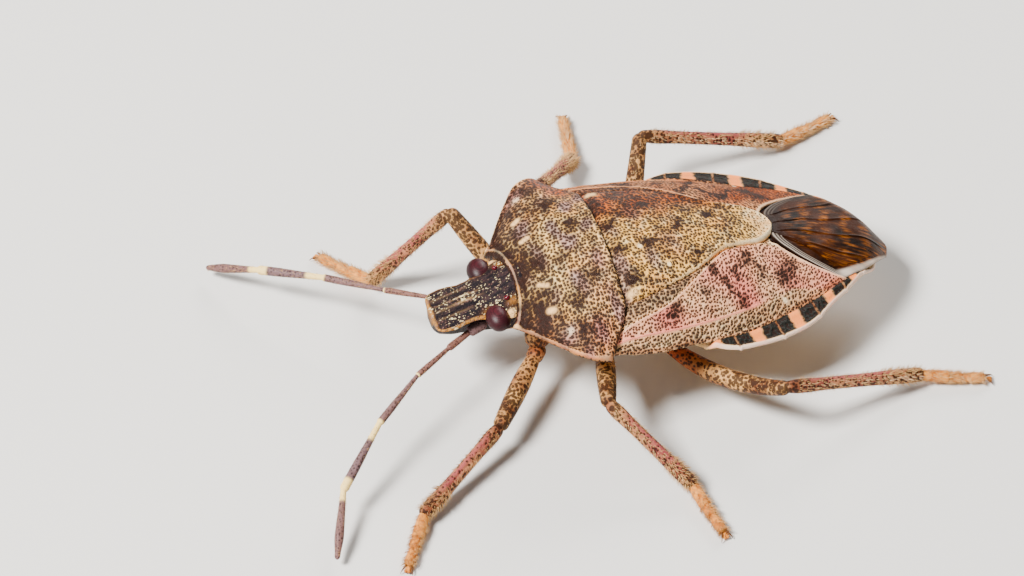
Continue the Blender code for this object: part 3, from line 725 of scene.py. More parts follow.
def leg_material():
    """Legs: spotted femora and shins, golden feet with dark claws."""
    material, tree = new_material("leg_shell", 0.5, SHEEN)
    clouds = use_group(tree, CLOUDS, Scale=1.4)
    size = pit_size(tree, 0.46, ("dark", 0.26), ("bare", -0.22), ("gold", -0.40))
    pits = use_group(tree, ROUND_PUNCTURES, Across=8600.0, Along=8600.0, Upward=8600.0, Size=size)
    golden = mottle(tree, clouds["Fine"], 0.35, 0.65, srgb(176, 98, 32), srgb(228, 150, 66))
    # The rust tint, srgb(150, 56, 16), is the femur bases' ruddy colour darkened to their tone in shade:
    # partly painted shade.
    colour = coats(tree, mottle(tree, clouds["Broad"], 0.35, 0.65, srgb(206, 152, 90), srgb(124, 72, 40)),
                   ("rose", srgb(150, 66, 70)), ("rust", srgb(150, 56, 16)), ("gold", golden),
                   (pits["Pit"], srgb(36, 18, 10), 0.9), ("claw", srgb(40, 22, 16)))
    height = maths(tree, "MULTIPLY_ADD", pits["Halo"], -0.6, clouds["Grain"])
    return painted(material, colour, height, 0.00002)


def antenna_material():
    """Dark feelers with pale rings."""
    material, tree = new_material("antenna_shell", 0.5, SHEEN)
    clouds = use_group(tree, CLOUDS, Scale=2.0)
    specks = use_group(tree, ROUND_PUNCTURES, Across=11000.0, Along=11000.0, Upward=11000.0, Size=0.38)
    colour = coats(tree, blend(tree, clouds["Fine"], srgb(34, 26, 30), srgb(140, 112, 116)),
                   ("rust", srgb(132, 80, 56)), (specks["Pit"], srgb(20, 14, 14), 0.7),
                   ("pale", srgb(250, 216, 136)))
    return painted(material, colour, clouds["Fine"], 0.00002)


def bristle_material():
    """Golden bristles."""
    material, tree = new_material("fine_bristles", 0.5)
    clouds = use_group(tree, CLOUDS, Scale=2.0)
    return painted(material, blend(tree, clouds["Broad"], srgb(212, 170, 110), srgb(176, 126, 74)))


# Skins

def head_skin():
    """Head: a plate whose outline follows the width stations. Its top is the back's arch with
    a raised middle lobe between two grooves, swollen cheeks and a thin raised edge; its
    underside is a rounded keel."""
    along = spread(110, 0.7)[:, None]
    share = np.linspace(-1.0, 1.0, 91)
    share = 0.55 * np.sin(0.5 * np.pi * share) + 0.45 * share
    y = HEAD_FRONT + (HEAD_REAR - HEAD_FRONT) * along + 0.03 * share ** 2 * fall(along, 0.0, 0.3)
    half = smooth(HEAD_WIDTHS, y)
    x = share * half
    off, across = np.abs(x), np.abs(share)
    edge_in = (1.0 - across) * half
    front = fall(y, 1.1, 1.7)
    level = smooth(BACK, y, 3)
    top = level + (smooth(BACK, y, 2) - level) * (1.0 - across ** 2) ** 0.7
    top = top + 0.065 * hump(x, 0.0, 0.17) * front + 0.04 * hump(off, 0.52, 0.16) * front
    top = top - 0.055 * hump(off, 0.29, 0.055) * front * ease(y, 0.02, 0.25)
    top = top + 0.05 * ease(across, 0.88, 0.96) * fall(y, 1.4, 1.7)
    top = top + 0.05 * hump(off, 0.62, 0.2) * hump(y, 1.75, 0.3)
    top = top - 0.04 * hump(y, 1.45, 0.07) * fall(off, 0.2, 0.6) + 0.012 * ripple(x, y, 0.35, 3)
    keel = smooth(HEAD_KEEL, y)
    bottom = keel + (level - 0.05 - keel) * ease(across, 0.42, 0.80) ** 0.8
    middle = 0.5 * (top + bottom)
    top = np.maximum(top - rounded(edge_in, 0.07) - rounded((y - HEAD_FRONT) * 0.9, 0.08), middle)
    bottom = np.minimum(bottom + rounded(edge_in, 0.05), middle)
    pale = np.maximum(0.40 * hump(edge_in, 0.03, 0.03) * fall(y, 1.3, 1.7),
                      0.5 * hump(y, HEAD_FRONT + 0.05, 0.04))
    streaks = (0.35 * hump(off, 0.11, 0.035) * ease(y, 0.1, 0.4) * fall(y, 1.4, 1.9)
               + 0.8 * hump(off, 0.10, 0.04) * hump(y, 1.15, 0.28)
               + 0.25 * hump(off, 0.42, 0.04) * ease(y, 0.1, 0.3) * fall(y, 1.0, 1.5))
    dark = (0.3 + 0.25 * ripple(x, y, 0.8, 5) + 0.5 * hump(y, 2.75, 0.16)
            + 0.7 * hump(off, 0.28, 0.06) * front + 0.45 * hump(off, 0.34, 0.12) * ease(y, 1.4, 1.7))
    golden = (0.8 * hump(edge_in, 0.02, 0.035) + 0.8 * hump(y, HEAD_FRONT + 0.04, 0.05)
              + 0.5 * hump(off, 0.84, 0.14) * hump(y, 1.75, 0.2)
              + 0.5 * hump(off, 0.80, 0.12) * hump(y, 2.5, 0.16))
    # The underside's dark 1.0 is painted shade beneath the head's edge: it shrinks the pale grains there.
    mesh = plate(x, y, top, bottom, {"dark": 1.0}, dark=unit(dark) * (1 - pale), pale=unit(pale + streaks),
                 rust=unit(golden), callus=ease(off, 0.98, 1.06) * hump(y, 2.33, 0.17))
    put_skin("head_shell", mesh, HEAD_SHELL, "mottled_shell", "head")


def eye_skin(side, sign):
    """Eye: an ellipsoid, longitude around its outward axis and latitude towards it."""
    x, y, z = (centre + radius * place for centre, radius, place
               in zip(EYE_CENTRE, (-EYE_RADIUS[0], *EYE_RADIUS[1:]), ball(48, 72, 0.01)))
    put_skin(f"eye_ball_{side}", rod(as_points(sign * x, y, z)), EYE, "eye_gloss", f"eye_{side}")


def ocelli_skin():
    """The two simple eyes: small red beads on the back of the head."""
    x, y, radius = OCELLUS
    z = back_height(x, y) + 0.02
    up, right, back = ball(20, 32, 0.02)
    beads = [rod(as_points(sign * x + radius * right, y + radius * back, z + 0.8 * radius * up))
             for sign in (1.0, -1.0)]
    put_skin("ocelli", merge(beads), BEAD, "eye_gloss")


def pronotum_skin():
    """Pronotum: rows run from the collar's line to the rear edge's line. Its top is the back's
    arch with a thin raised margin, two smooth swellings behind the collar and faint cross
    wrinkles; its underside follows the belly in front and thins to a lip over the wings."""
    along = spread(120, 0.6)[:, None]
    share = side_to_side(241, 0.16)
    across = np.abs(share)
    slope = unit((across - SHIELD_CORNER_SHARE) / (1.0 - SHIELD_CORNER_SHARE))
    rear = SHIELD_REAR + (SHIELD_CORNER - SHIELD_REAR) * slope ** 1.4
    front = COLLAR_MIDDLE - (COLLAR_MIDDLE - COLLAR_SIDE) * across ** 2
    y = front + (rear - front) * along
    half = smooth(BACK, y, 1) + 0.03
    x = share * half
    off = np.abs(x)
    edge_in, from_front, from_rear = (1.0 - across) * half, y - front, rear - y
    arch = back_height(x, y) + 0.03
    margin = 0.04 * hump(edge_in, 0.05, 0.035) * fall(y, 4.5, 4.75)
    ditch = 0.05 * hump(edge_in, 0.26, 0.12) * fall(y, 3.6, 4.2)
    collar = 0.045 * hump(from_front, 0.09, 0.04) - 0.05 * hump(from_front, 0.27, 0.10)
    lip = 0.025 * hump(from_rear, 0.10, 0.12)
    calli = 0.075 * hump(off, 1.05, 0.52) * hump(y, 3.12, 0.26)
    calli = calli - 0.03 * hump(y, 3.50, 0.12) * hump(off, 1.0, 0.9)
    wrinkles = 0.010 * ripple(x * 0.5, y * 1.6, 0.45, 11) + 0.012 * ripple(x, y, 1.3, 12)
    top = arch + margin - ditch + collar + lip + calli + wrinkles
    top = top - rounded(edge_in, 0.06) - rounded(from_rear, 0.09) - rounded(from_front, 0.08)
    deep = belly_height(x, y, half, smooth(BACK, y, 3) - 0.09)
    bottom = deep + (arch - 0.16 - deep) * ease(along, 0.49, 0.57)
    bottom = np.minimum(bottom, top - THINNEST_PLATE)
    far = ease(-x, 1.2, 2.2)
    patches = ((2.05, 4.24, .3), (3.04, 4.1, .3), (3.5, 4.1, .25), (1.3, 4.9, .22), (.3, 4.3, .2),
               (-.9, 4.8, .22), (-2.1, 4.4, .3), (-3.1, 4.2, .3))
    ragged = 0.10 * ripple(x, y, 0.5, 24)
    # The dark along the very rear edge (from_rear below 0.05) is painted shade at the step down onto the
    # scutellum.
    dark = (0.22 + 0.30 * ripple(x, y, 1.5, 21) + 0.30 * ripple(x * 0.6, y * 1.3, 0.7, 22)
            + 0.70 * fall(y, 3.1, 4.1) + 0.8 * spots(x + ragged, y + ragged, patches, 1.4)
            + 0.7 * fall(from_rear, 0.01, 0.05) + 0.45 * hump(edge_in, 0.20, 0.08) * fall(y, 3.6, 4.2)
            + 0.5 * hump(from_front, 0.24, 0.08) + 0.9 * fall(from_front, 0.01, 0.05))
    bars = [(place + 0.5 * step * length * np.sign(place), 3.38 + step * length, radius)
            for place, length, radius in ((-1.95, 0.05, 0.10), (-1.0, 0.10, 0.09), (1.0, 0.10, 0.09),
                                          (1.95, 0.05, 0.11)) for step in (-1.0, 0.0, 1.0)]
    tooth = hump(edge_in, 0.0, 0.07) * hump(from_front, 0.08, 0.09)
    # The pale band on the far margin (far) is a painted highlight along the far edge.
    pale = unit(0.5 * spots(x, y, ((-2.9, 3.7, .12), (2.9, 3.7, .12))) + 0.08 * hump(edge_in, 0.03, 0.02)
                + 0.2 * hump(edge_in, 0.0, 0.08) * hump(y, 4.55, 0.16)
                + 0.5 * far * hump(edge_in, 0.04, 0.04) * fall(y, 4.3, 4.6)
                + 0.16 * hump(from_front, 0.09, 0.024) * (0.7 + 0.3 * ripple(x, y, 0.5, 8)))
    rose = 0.30 * ease(across, 0.55, 0.95)
    rose = rose + 0.35 * spots(x, y, ((.87, 5.15, .5), (1.87, 4.84, .5), (2.99, 4.6, .5)))
    # The factor (1 - 0.8 * far) takes the rust off the far margin, under its painted highlight.
    rust = 0.55 * hump(edge_in, 0.0, 0.05) * (1 - 0.8 * far) + 0.5 * hump(from_front, 0.10, 0.06)
    rust = rust + 1.1 * spots(x, y, ((-3.4, 4.7, .6), (-2.8, 5.0, .5)))
    # The underside's dark 0.4 is painted shade beneath the pronotum's edge; its rust 0.3 is a tint.
    mesh = plate(x, y, top, bottom, {"dark": 0.4, "rust": 0.3}, dark=np.clip(dark, 0, 1.5) * (1 - pale),
                 pale=pale, rose=unit(rose), rust=unit(rust), callus=unit(spots(x, y, bars, 2.0) + tooth),
                 bare=unit(hump(from_front, 0.09, 0.035) + 0.8 * hump(edge_in, 0.015, 0.022)),
                 haze=0.75 * ease(ripple(x, y * 1.4, 1.5, 26), -0.1, 0.9))
    put_skin("pronotum_shell", mesh, PRONOTUM, "mottled_shell", "pronotum")


def scutellum_skin():
    """Scutellum: rows across the tongue between the wings. It rises a little above them, with
    a shallow hollow inside its pale margin and a smooth pale tip."""
    along = (1.0 - (1.0 - spread(190, 0.3)) ** 1.15)[:, None]
    y = SCUTELLUM_FRONT + (SCUTELLUM_TIP - SCUTELLUM_FRONT) * along
    share = side_to_side(151, 0.10)
    half = smooth(SCUTELLUM_WIDTHS, y)
    x = share * half
    edge_in = (1.0 - np.abs(share)) * half
    level = back_height(x, y) - 0.15 * fall(y, 5.58, 5.92)
    top = level + 0.04 + 0.05 * hump(edge_in, 0.09, 0.08) * ease(y, 7.5, 9.5)
    top = top + 0.012 * ripple(x, y, 1.2, 31) + 0.007 * ripple(x, y, 0.4, 32)
    top = top - rounded(edge_in, 0.08) - rounded(SCUTELLUM_TIP - y, 0.08)
    bottom = np.minimum(level - 0.12, top - THINNEST_PLATE)
    # far is the scutellum's far half, in front of the pale tip: its extra dark and lost pale rim are painted
    # shade; its rust is a rusty tone.
    far = ease(-x, 0.1, 1.2) * fall(y, 9.2, 10.2)
    patches = ((-1.56, 5.82, .22), (-.4, 5.92, .22), (.73, 5.94, .22), (1.74, 5.98, .24),
               (-.33, 9.16, .22), (.64, 6.86, .25), (.11, 8.01, .2), (-1.1, 7.2, .2), (1.2, 8.3, .16))
    ragged = 0.08 * ripple(x, y, 0.4, 35)
    dark = (0.12 + 0.32 * ripple(x, y, 1.4, 33) + 0.28 * ripple(x, y, 0.6, 34) + 0.48 * far
            + 1.3 * spots(x + ragged, y - ragged, patches, 1.4) + 0.25 * far * ripple(x, y, 0.8, 37))
    corners = ((2.16, 5.95, .12), (2.2, 5.83, .12), (-2.16, 5.95, .12), (-2.2, 5.83, .12))
    pale = unit(0.8 * spots(x, y, ((.74, 6.57, .08), (1.5, 7.29, .07)), 2.0) + 0.25 * ease(y, 10.0, 11.0)
                + 0.7 * hump(edge_in, 0.04, 0.05) * ease(y, 9.3, 10.6)
                + 0.4 * hump(edge_in, 0.03, 0.03) * ease(y, 6.0, 8.0) * (1 - far))
    mesh = plate(x, y, top, bottom, dark=np.clip(dark, 0, 1.5) * (1 - pale), pale=pale, rose=0.0,
                 rust=far * (0.90 + 0.1 * ripple(x, y, 0.9, 38)), callus=spots(x, y, corners, 2.0),
                 haze=0.7 * ease(ripple(x, y, 1.3, 36), -0.1, 0.9) * fall(y, 6.5, 9.0))
    put_skin("scutellum_shell", mesh, SCUTELLUM, "mottled_shell", "scutellum")


def wing_skin(side, sign):
    """Fore wing: rows from the shoulder to the seam, columns from under the scutellum's edge
    to the outer edge. The seam is bowed towards the head. A groove follows the scutellum, a
    smooth vein runs inside a flat strip along the outer edge. The right wing's mottling is that
    of rows further back, so that the two differ; it is rusty, and darker by painted shade."""
    along = spread(250, 0.15)[:, None]
    across = spread(131, 0.25)
    inner_y = WING_FRONT[0] + (SEAM_INNER[1] - WING_FRONT[0]) * along
    inner_x = smooth(SCUTELLUM_WIDTHS, inner_y) - 0.22 + 0.30 * ease(inner_y, 10.4, SEAM_INNER[1])
    inner_x = np.maximum(inner_x, WING_INNERMOST)
    outer_y = WING_FRONT[1] + (WING_APEX[1] - WING_FRONT[1]) * along
    wide = wing_edge(outer_y) - 0.14 * fall(outer_y, 4.8, 5.5) - inner_x
    x = inner_x + wide * across
    y = inner_y + (outer_y - inner_y) * across - seam_bow(across) * along ** 3
    edge_in = (1.0 - across) * wide
    from_seam = (1.0 - along) * WING_LENGTH
    from_fold = x - smooth(CLAVAL_FOLD, y)
    fold = hump(from_fold, 0.0, 0.03) * fall(y, 9.0, 9.5)
    piping = hump(from_fold, 0.06, 0.024) * fall(y, 9.0, 9.5)
    from_vein = x - smooth(LONG_VEIN, y)
    vein = hump(from_vein, 0.0, 0.024) * fall(y, 9.0, 10.4)
    gutter = hump(from_vein, 0.10, 0.05) * fall(y, 9.0, 10.2)
    level = back_height(x, y) - 0.13 * fall(across * wide, 0.10, 0.34) - 0.20 * fall(along, 0.03, 0.10)
    top = (level - 0.05 * fold + 0.02 * piping + 0.04 * vein - 0.02 * gutter
           + 0.02 * hump(edge_in, 0.05, 0.04) + 0.012 * ripple(x, y, 1.4, 41)
           + 0.008 * ripple(x, y, 0.5, 42) - rounded(edge_in, 0.03) - rounded(from_seam, 0.05))
    bottom = np.minimum(level - 0.03 - 0.09 * ease(edge_in, 0.0, 0.25), top - THINNEST_PLATE)
    near = side == "left"
    row = y + (0.0 if near else RIGHT_WING_SHIFT)
    blotches = ((2.78, 7.2, .24), (1.75, 8.66, .16), (2.08, 8.95, .14), (2.66, 9.33, .22), (1.42, 9.86, .20),
                (2.49, 8.13, .13), (1.58, 11.2, .28), (1.92, 10.93, .26), (1.95, 9.34, .12),
                *trail(0.10, (1.62, 8.55), (2.08, 8.92), (2.44, 9.15), (2.72, 9.38)),
                *trail(0.085, (1.98, 9.32), (1.66, 9.48), (1.45, 9.88), (1.58, 10.2), (1.93, 10.27)),
                *trail(0.10, (1.22, 9.95), (1.54, 9.72)), *trail(0.11, (2.95, 6.85), (2.78, 7.3)))
    ragged_x = x + 0.10 * ripple(x, row, 0.35, 71)
    ragged_y = y + 0.10 * ripple(x, row, 0.35, 72)
    dark = (0.05 + 0.14 * ripple(x, row, 1.6, 43) + 0.10 * ripple(x, row, 0.6, 44)
            + 1.05 * spots(ragged_x, ragged_y, blotches, 1.3) + 0.3 * ease(from_vein, 0.03, 0.12)
            + 0.60 * ease(-from_fold, 0.0, 0.1) * fall(y, 8.8, 9.3))
    blush = ease(from_fold, 0.0, 0.15) * fall(from_vein, -0.05, 0.08)
    rose = (0.12 + (0.52 + 0.34 * ripple(x, row, 2.0, 45)) * blush + 0.2 * ease(y, 10.8, 12.0)
            + 0.6 * vein + 0.4 * piping)
    rust = 0.04 + 0.5 * hump(edge_in, 0.03, 0.04)
    # The right wing is the far one: the extra dark added here is painted shade; its rust and weaker rose are
    # its tone.
    if not near:
        dark = dark + 0.28 + 0.12 * ripple(x, y, 1.3, 46)
        rose = 0.15 * rose
        rust = 0.72 + 0.28 * fall(from_seam, 0.7, 2.6) * ease(x, 0.9, 1.5) + 0.12 * ripple(x, y, 1.2, 49)
    pale = unit(0.8 * spots(x, y, ((2.56, 10.76, .08),), 2.0) + 0.15 * piping
                + 0.45 * hump(from_seam, 0.04, 0.06))
    mesh = plate(sign * x, y, top, bottom, dark=np.clip(dark, 0, 1.5) * (1 - pale), pale=pale,
                 rose=unit(rose), rust=unit(rust), bare=unit(0.8 * vein + 0.6 * piping))
    put_skin(f"wing_leather_{side}", mesh, CORIUM, "wing_leather", f"wing_{side}")


def membrane_skin(side, sign):
    """Clear end of a wing: rows from under the seam to the tail. The veins are ridges that fan
    out from the seam in the sheet's own surface; the right sheet lies over the left one."""
    along = (1.0 - (1.0 - np.linspace(0.0, 1.0, 150)) ** 1.3)[:, None]
    y = MEMBRANE_FRONT + (MEMBRANE_TIP - MEMBRANE_FRONT) * along
    across = spread(121, 0.3)
    outer = smooth(MEMBRANE_WIDTHS, y)
    inner = -outer * (0.45 + 0.38 * ease(y, 11.6, 13.2))
    x = inner + (outer - inner) * across
    edge_in = np.minimum(across, 1.0 - across) * (outer - inner)
    share = unit((x - SEAM_INNER[0]) / (WING_APEX[0] - SEAM_INNER[0]))
    seam = SEAM_INNER[1] + (WING_APEX[1] - SEAM_INNER[1]) * share - seam_bow(share)
    behind = y - seam
    fan = np.arctan2(x - FAN_CENTRE[0], y - FAN_CENTRE[1])
    reach = np.hypot(x - FAN_CENTRE[0], y - FAN_CENTRE[1])
    ridge = fall(np.abs(np.sin(fan * FAN_VEINS + 0.25 * np.sin(3.0 * y))), 0.0, 0.26)
    ridge = ridge * ease(behind, 0.10, 0.5) * ease(edge_in, 0.06, 0.3)
    level = back_height(x, y) - 0.16 * fall(behind, -0.02, 0.12) * ease(x, 0.2, 0.35)
    level = level + (0.035 if side == "right" else 0.0)
    top = level + 0.030 * ridge + 0.010 * ripple(x, y, 0.9, 51) - rounded(edge_in, 0.03)
    bottom = np.minimum(level - 0.05, top - THINNEST_PLATE)
    # The golden streaks are painted golden sheen, with more of it along the sheet's edges towards the tip.
    streak = 0.6 * ease(ripple(fan * 22.0, reach * 1.4, 1.2, 52), -0.3, 1.0) * ease(behind, 0.3, 1.2)
    streak = streak + 0.2 * fall(edge_in, 0.05, 0.4) * ease(y, 12.6, 13.2)
    dark = 0.75 * fall(behind, 0.1, 0.9) + 0.28 * ridge
    # The silvery lines behind the seam and the strip along the left sheet's outer edge are a painted glint;
    # on the right sheet the lines are weaker.
    lines = (0.62 * hump(behind, 0.14, 0.026) + 0.45 * hump(behind, 0.26, 0.022)
             + 0.35 * hump(behind, 0.37, 0.018)) * ease(x, 0.25, 0.5)
    if side == "left":
        strip = ease(x - 0.84 * outer, 0.0, 0.12) * ease(y, 12.6, 13.0)
        silver = np.maximum(lines * fall(y, 13.1, 13.3), strip * (0.55 + 0.2 * ripple(x, y, 0.7, 53)))
    else:
        silver = lines * 0.25 * fall(y, 12.0, 12.4)
    mesh = plate(sign * x, y, top, bottom, streak=unit(streak), dark=unit(dark), silver=unit(silver))
    put_skin(f"membrane_sheet_{side}", mesh, MEMBRANE, "wing_membrane", f"membrane_{side}")


def trunk_skin():
    """Trunk: rows across thorax and belly. The roof lies hidden under the wings; beside them
    it rises as a flat lip, level with the wing's edge, that has a small tooth at each segment;
    the underside is a keel between the legs and a round belly behind them."""
    y = np.linspace(TRUNK_FRONT, TRUNK_TIP, 355)[:, None]
    thorax = np.minimum(smooth(BACK, y, 1) - 0.25, THORAX_HALF_WIDTH) - 0.9 * fall(y, 3.65, 4.15)
    outline = np.where(y < THORAX_REAR, thorax, smooth(ABDOMEN_WIDTHS, y))
    outline = outline + 0.035 * sum(hump(y, end, 0.05) for end in SEGMENT_ENDS[1:]) * ease(y, 8.0, 8.8)
    cover = np.where(y < WING_END, wing_edge(y), smooth(MEMBRANE_WIDTHS, y))
    show = ease(outline - cover, -0.04, 0.16)
    foot = np.minimum(cover - 0.12, outline - 0.10)
    steps = np.linspace(0.0, 1.0, 26)
    lip = foot + (outline - foot) * (1.0 - (1.0 - steps[1:]) ** 1.3)
    half = np.concatenate([steps ** 0.8 * foot, lip], axis=1)
    x = np.concatenate([-half[:, :0:-1], half], axis=1)
    across = np.abs(x)
    edge_in = outline - across
    lean = y + 0.25 * np.clip(edge_in, 0.0, 0.8)
    suture = sum(hump(lean, end, 0.022) for end in SEGMENT_ENDS)
    level = smooth(BACK, y, 3)
    under = back_height(x, y) - 0.32
    flush = level - 0.02 + 0.02 * hump(across, cover + 0.12, 0.10) + 0.03 * hump(edge_in, 0.07, 0.06)
    flush = flush - 0.16 * ease(across, cover - 0.1, outline + 0.1) * fall(y, 13.0, 14.0)
    raised = ease(across, cover - 0.10, cover - 0.02) * show
    top = under + (np.maximum(flush, under) - under) * raised
    top = top - 0.03 * suture * raised - rounded(edge_in, 0.06)
    edge = under - 0.10 + (level - 0.25 + 0.16 * ease(y, 13.0, 14.0) - under + 0.10) * show
    bottom = belly_height(x, y, outline, edge)
    bottom = bottom + rounded(edge_in, 0.05) + 0.02 * suture * ease(y, 8.0, 8.6)
    bottom = bottom + (0.08 + 0.40 * hump(x, 0.0, 0.8)) * fall(y, 4.02, 4.22)
    bottom = bottom + 0.05 * side_seams(x, y) * ease(across, 0.2, 0.5) * ease(edge_in, 0.0, 0.3)
    bottom = np.minimum(bottom, top - THINNEST_PLATE)
    bottom = bottom + (top - 0.03 - bottom) * ease(y, 14.1, TRUNK_TIP) ** 2
    phase, holes = 0.0, 0.0
    for first, second in zip(SEGMENT_ENDS, (*SEGMENT_ENDS[1:], LAST_SEGMENT_END)):
        phase = np.where((lean >= first) & (lean < second), (lean - first) / (second - first), phase)
    for first, second in zip(SEGMENT_ENDS, SEGMENT_ENDS[1:]):
        centre = 0.5 * (first + second)
        where = 0.72 * smooth(ABDOMEN_WIDTHS, centre)
        holes = np.maximum(holes, np.exp(-((across - where) ** 2 + (y - centre) ** 2) / BREATHING_HOLE ** 2))
    phase = phase + 0.03 * ripple(across * 2, y, 0.6, 61)
    block = 1.0 - ease(phase, 0.31, 0.39) * fall(phase, 0.58, 0.66)
    on_lip = ease(across, cover - 0.1, cover)
    line = 0.9 * unit(suture) * (0.25 + 0.75 * fall(edge_in, 0.28, 0.42))
    underside = {"rust": 0.7 * side_seams(x, y) * ease(across, 0.2, 0.5), "spiracle": unit(1.5 * holes),
                 "pitted": ease(across, 0.06, 0.3) * fall(y, 7.4, 8.0)}
    mesh = plate(x, y, top, bottom, underside, spiracle=0.0, pitted=0.0, rust=unit(suture) * on_lip,
                 band=unit(block * on_lip * ease(edge_in, 0.07, 0.12) * (1.0 - line)),
                 rose=unit((1.0 - block) * on_lip), pale=0.8 * fall(edge_in, 0.05, 0.10) * ease(y, 7.8, 8.4))
    put_skin("trunk_shell", mesh, BELLY, "belly_shell", "thorax", "abdomen")


def beak_skin():
    """Beak: four joints of a rod that lies in the groove of the underside."""
    t = spread(26, 0.7)
    parts = []
    for first, second, thick, rust, dark, dark_end in BEAK_JOINTS:
        y = first - 0.06 + (second - first + 0.12) * t
        roof = np.minimum(smooth(HEAD_KEEL, y), smooth(BELLY_KEEL, y) + 5.0 * (y < 2.2))
        radius = thick * round_ends(t, second - first, 0.1, 0.1)
        parts.append(rod(limb_rings(as_points(0.0, y, roof - 0.15), radius, 20), rust=rust,
                         band=dark + dark_end * ease(t, 0.8, 0.95)[:, None]))
    put_skin("beak_rod", merge(parts), BELLY, "belly_shell", "beak")


def antenna_skin(side, sign):
    """Antenna: a knob on the head, then five rods. Each widens from a slender root to its far
    end, which holds the root of the next; the last one tapers to its tip."""
    joints = np.array(ANTENNA_JOINTS[side])
    t = spread(24, 0.7)
    knob = bowed(joints[0] + np.array([-0.22 * sign, 0.62, 0.12]), joints[0], t, 0.0)
    parts = [rod(limb_rings(knob, (0.22 - 0.05 * t) * round_ends(t, 0.65, 0.2, 0.1), 24), rust=0.2)]
    t = spread(64, 0.75)
    for number, (first, second) in enumerate(zip(joints, joints[1:])):
        reach = normal(second - first) * 0.05
        first = first - reach
        second = second + reach if number < 4 else second
        root = ANTENNA_ROOTS[number]
        shape = root + (1.0 - root) * ease(t, 0.0, 0.8)
        if number == 4:
            shape = shape * (1.0 - 0.45 * ease(t, 0.65, 1.0))
        radius = ANTENNA_RADII[number] * shape * round_ends(t, np.linalg.norm(second - first), 0.07, 0.12)
        near, far = ANTENNA_RINGS[number]
        pale = (1.0 - ease(t, near - 0.02, near + 0.03)) * (near > 0)
        pale = pale + ease(t, 0.98 - far, 1.02 - far) * (far > 0)
        parts.append(rod(limb_rings(bowed(first, second, t, 0.0), radius, 28), pale=pale[:, None],
                         rust=ANTENNA_RUST[number]))
    put_skin(f"feeler_{side}", merge(parts), ANTENNA, "antenna_shell", f"antenna_{side}")


def heading(turn, sign):
    """Unit vector on the floor, turned from straight out of the body towards the tail."""
    angle = math.radians(turn)
    return np.array([sign * math.cos(angle), math.sin(angle), 0.0])


def leg_joints(leg):
    """Base, knee, ankle and toe of a leg, from its lengths and the angles of its pose."""
    side, pair = leg.split("_")
    sign = 1.0 if side == "left" else -1.0
    base, (femur, tibia, foot) = LEG_PAIRS[pair]
    femur_turn, rise, tibia_turn, foot_turn = LEG_POSES[leg]
    base = np.array([sign * base[0], base[1], base[2]])
    rise = math.radians(rise)
    knee = base + heading(femur_turn, sign) * femur * math.cos(rise)
    knee[2] += femur * math.sin(rise)
    ankle = knee + heading(tibia_turn, sign) * math.sqrt(tibia ** 2 - (knee[2] - ANKLE_HEIGHT) ** 2)
    ankle[2] = ANKLE_HEIGHT
    toe = ankle + heading(foot_turn, sign) * math.sqrt(foot ** 2 - (ANKLE_HEIGHT - TOE_HEIGHT) ** 2)
    toe[2] = TOE_HEIGHT
    return base, knee, ankle, toe


def shin_section(angle, t):
    """Section of the shin: slightly three-sided, with two furrows along its upper side."""
    shape = 1.0 + 0.05 * np.cos(3.0 * (angle - 0.5 * np.pi))
    for middle in (0.5 * np.pi - 0.55, 0.5 * np.pi + 0.55):
        shape = shape - 0.10 * hump(angle, middle, 0.22) * ease(t, 0.06, 0.16)
    return shape


def shin_stripe(t, angle):
    """The smooth reddish stripe along the top of the shin."""
    return hump(angle, 0.5 * np.pi, 0.62) * ease(t, 0.08, 0.2) * fall(t, 0.7, 0.9)


def foot_pieces(ankle, toe):
    """The three joints of a foot: start, end and radii of each."""
    for first, second, start_height, stop_height, radii in FOOT_JOINTS:
        start, stop = ankle + (toe - ankle) * first, ankle + (toe - ankle) * second
        start[2], stop[2] = start_height, stop_height
        yield start, stop, tuple(zip((0, .5, 1), radii))


def claw(toe, sole, aside):
    """One claw of a foot: a rod that thins along a curve through four points down to the floor."""
    ahead, apart, height = np.array([(-0.08, 0.05, 0.20), (0.06, 0.10, 0.20), (0.17, 0.16, 0.14),
                                     (0.24, 0.20, 0.04)]).T[:, :, None]
    path = toe + sole * ahead + aside * apart
    path[:, 2:] = height
    stations = np.column_stack([np.linspace(0, 1, 4), path])
    t = np.linspace(0.0, 1.0, 18)
    centres = np.stack([smooth(stations, t, axis) for axis in (1, 2, 3)], -1)
    radius = 0.042 * (1.0 - 0.85 * t) * round_ends(t, 0.4, 0.04, 0.02)
    return rod(limb_rings(centres, radius, 12, thinnest=0.003), claw=0.8, gold=1.0)


